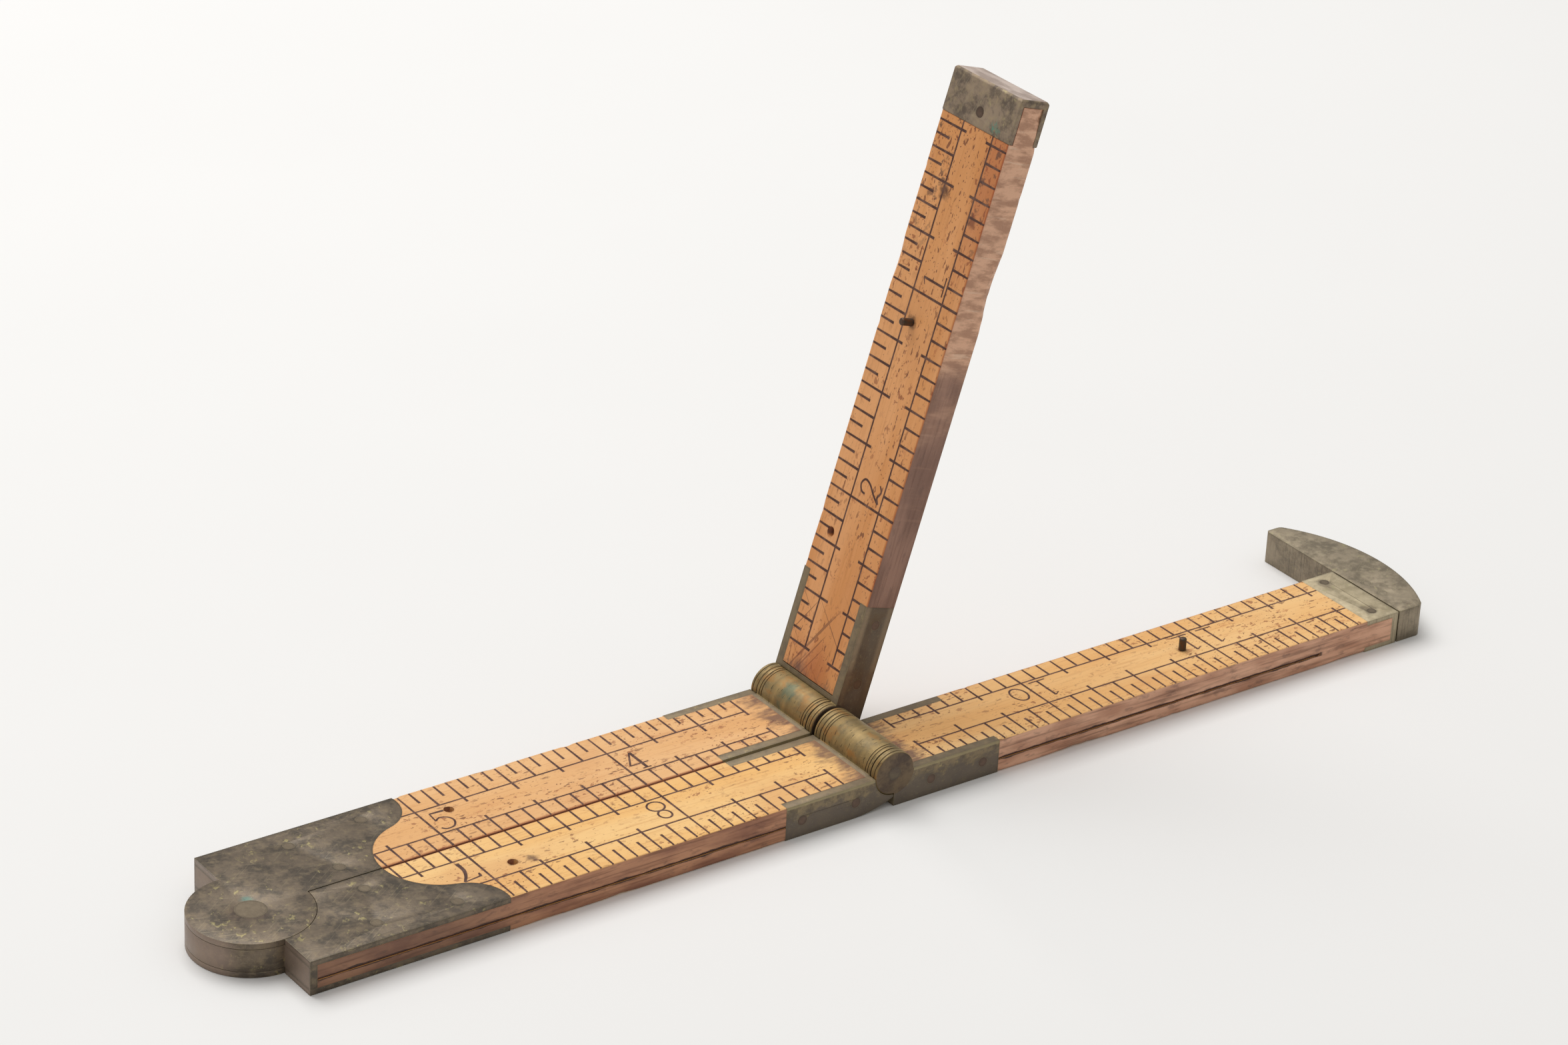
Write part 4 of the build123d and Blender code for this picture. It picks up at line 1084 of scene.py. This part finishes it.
def add_light(name, place, target, size, power):
    """A square soft light that points at a place."""
    light = bpy.data.lights.new(name, "AREA")
    light.size = size
    light.energy = power
    lamp = link_object(name, light)
    lamp.location = place
    lamp.rotation_mode = "QUATERNION"
    lamp.rotation_quaternion = (Vector(target) - Vector(place)).to_track_quat("-Z", "Y")


def add_world():
    """White studio surroundings, brighter overhead than at the horizon."""
    world = bpy.data.worlds.new("studio")
    bpy.context.scene.world = world
    world.use_nodes = True
    tree = world.node_tree
    tree.nodes.clear()
    place = tree.nodes.new("ShaderNodeTexCoord")
    split = tree.nodes.new("ShaderNodeSeparateXYZ")
    rise = tree.nodes.new("ShaderNodeMapRange")
    rise.inputs["From Min"].default_value = -0.1
    rise.inputs["From Max"].default_value = 0.9
    rise.inputs["To Min"].default_value = 0.19
    rise.inputs["To Max"].default_value = 0.62
    background = tree.nodes.new("ShaderNodeBackground")
    background.inputs["Color"].default_value = (1.0, 0.99, 0.975, 1.0)
    output = tree.nodes.new("ShaderNodeOutputWorld")
    tree.links.new(place.outputs["Generated"], split.inputs[0])
    tree.links.new(split.outputs[2], rise.inputs["Value"])
    tree.links.new(rise.outputs[0], background.inputs["Strength"])
    tree.links.new(background.outputs[0], output.inputs["Surface"])


def add_floor():
    """A plain pale tabletop just under the rule."""
    builder = bmesh.new()
    corners = ((-1, -1), (1, -1), (1, 1), (-1, 1))
    places = [(x * FLOOR_HALF, y * FLOOR_HALF, FLOOR_LEVEL) for x, y in corners]
    builder.faces.new([builder.verts.new(place) for place in places])
    mesh = bpy.data.meshes.new("floor")
    builder.to_mesh(mesh)
    builder.free()
    floor = link_object("floor", mesh)
    paint = Paint("floor_white")
    tone = paint.scatter(60 * MM, detail=3, seed=91.0)
    base = paint.mix(tone, colour("f4f3f1"), colour("f1f0ee"))
    floor.data.materials.append(paint.finish(base, 0.75, sheen=0.2))


def add_studio():
    """The camera, the floor, soft light from above and the plain colour handling."""
    add_camera()
    add_world()
    add_floor()
    add_light("key", place=(0.05, 0.45, 0.9), target=(0.07, 0, 0), size=0.7, power=6.3)
    bpy.context.scene.view_settings.view_transform = "Standard"


finish_pieces()
add_studio()
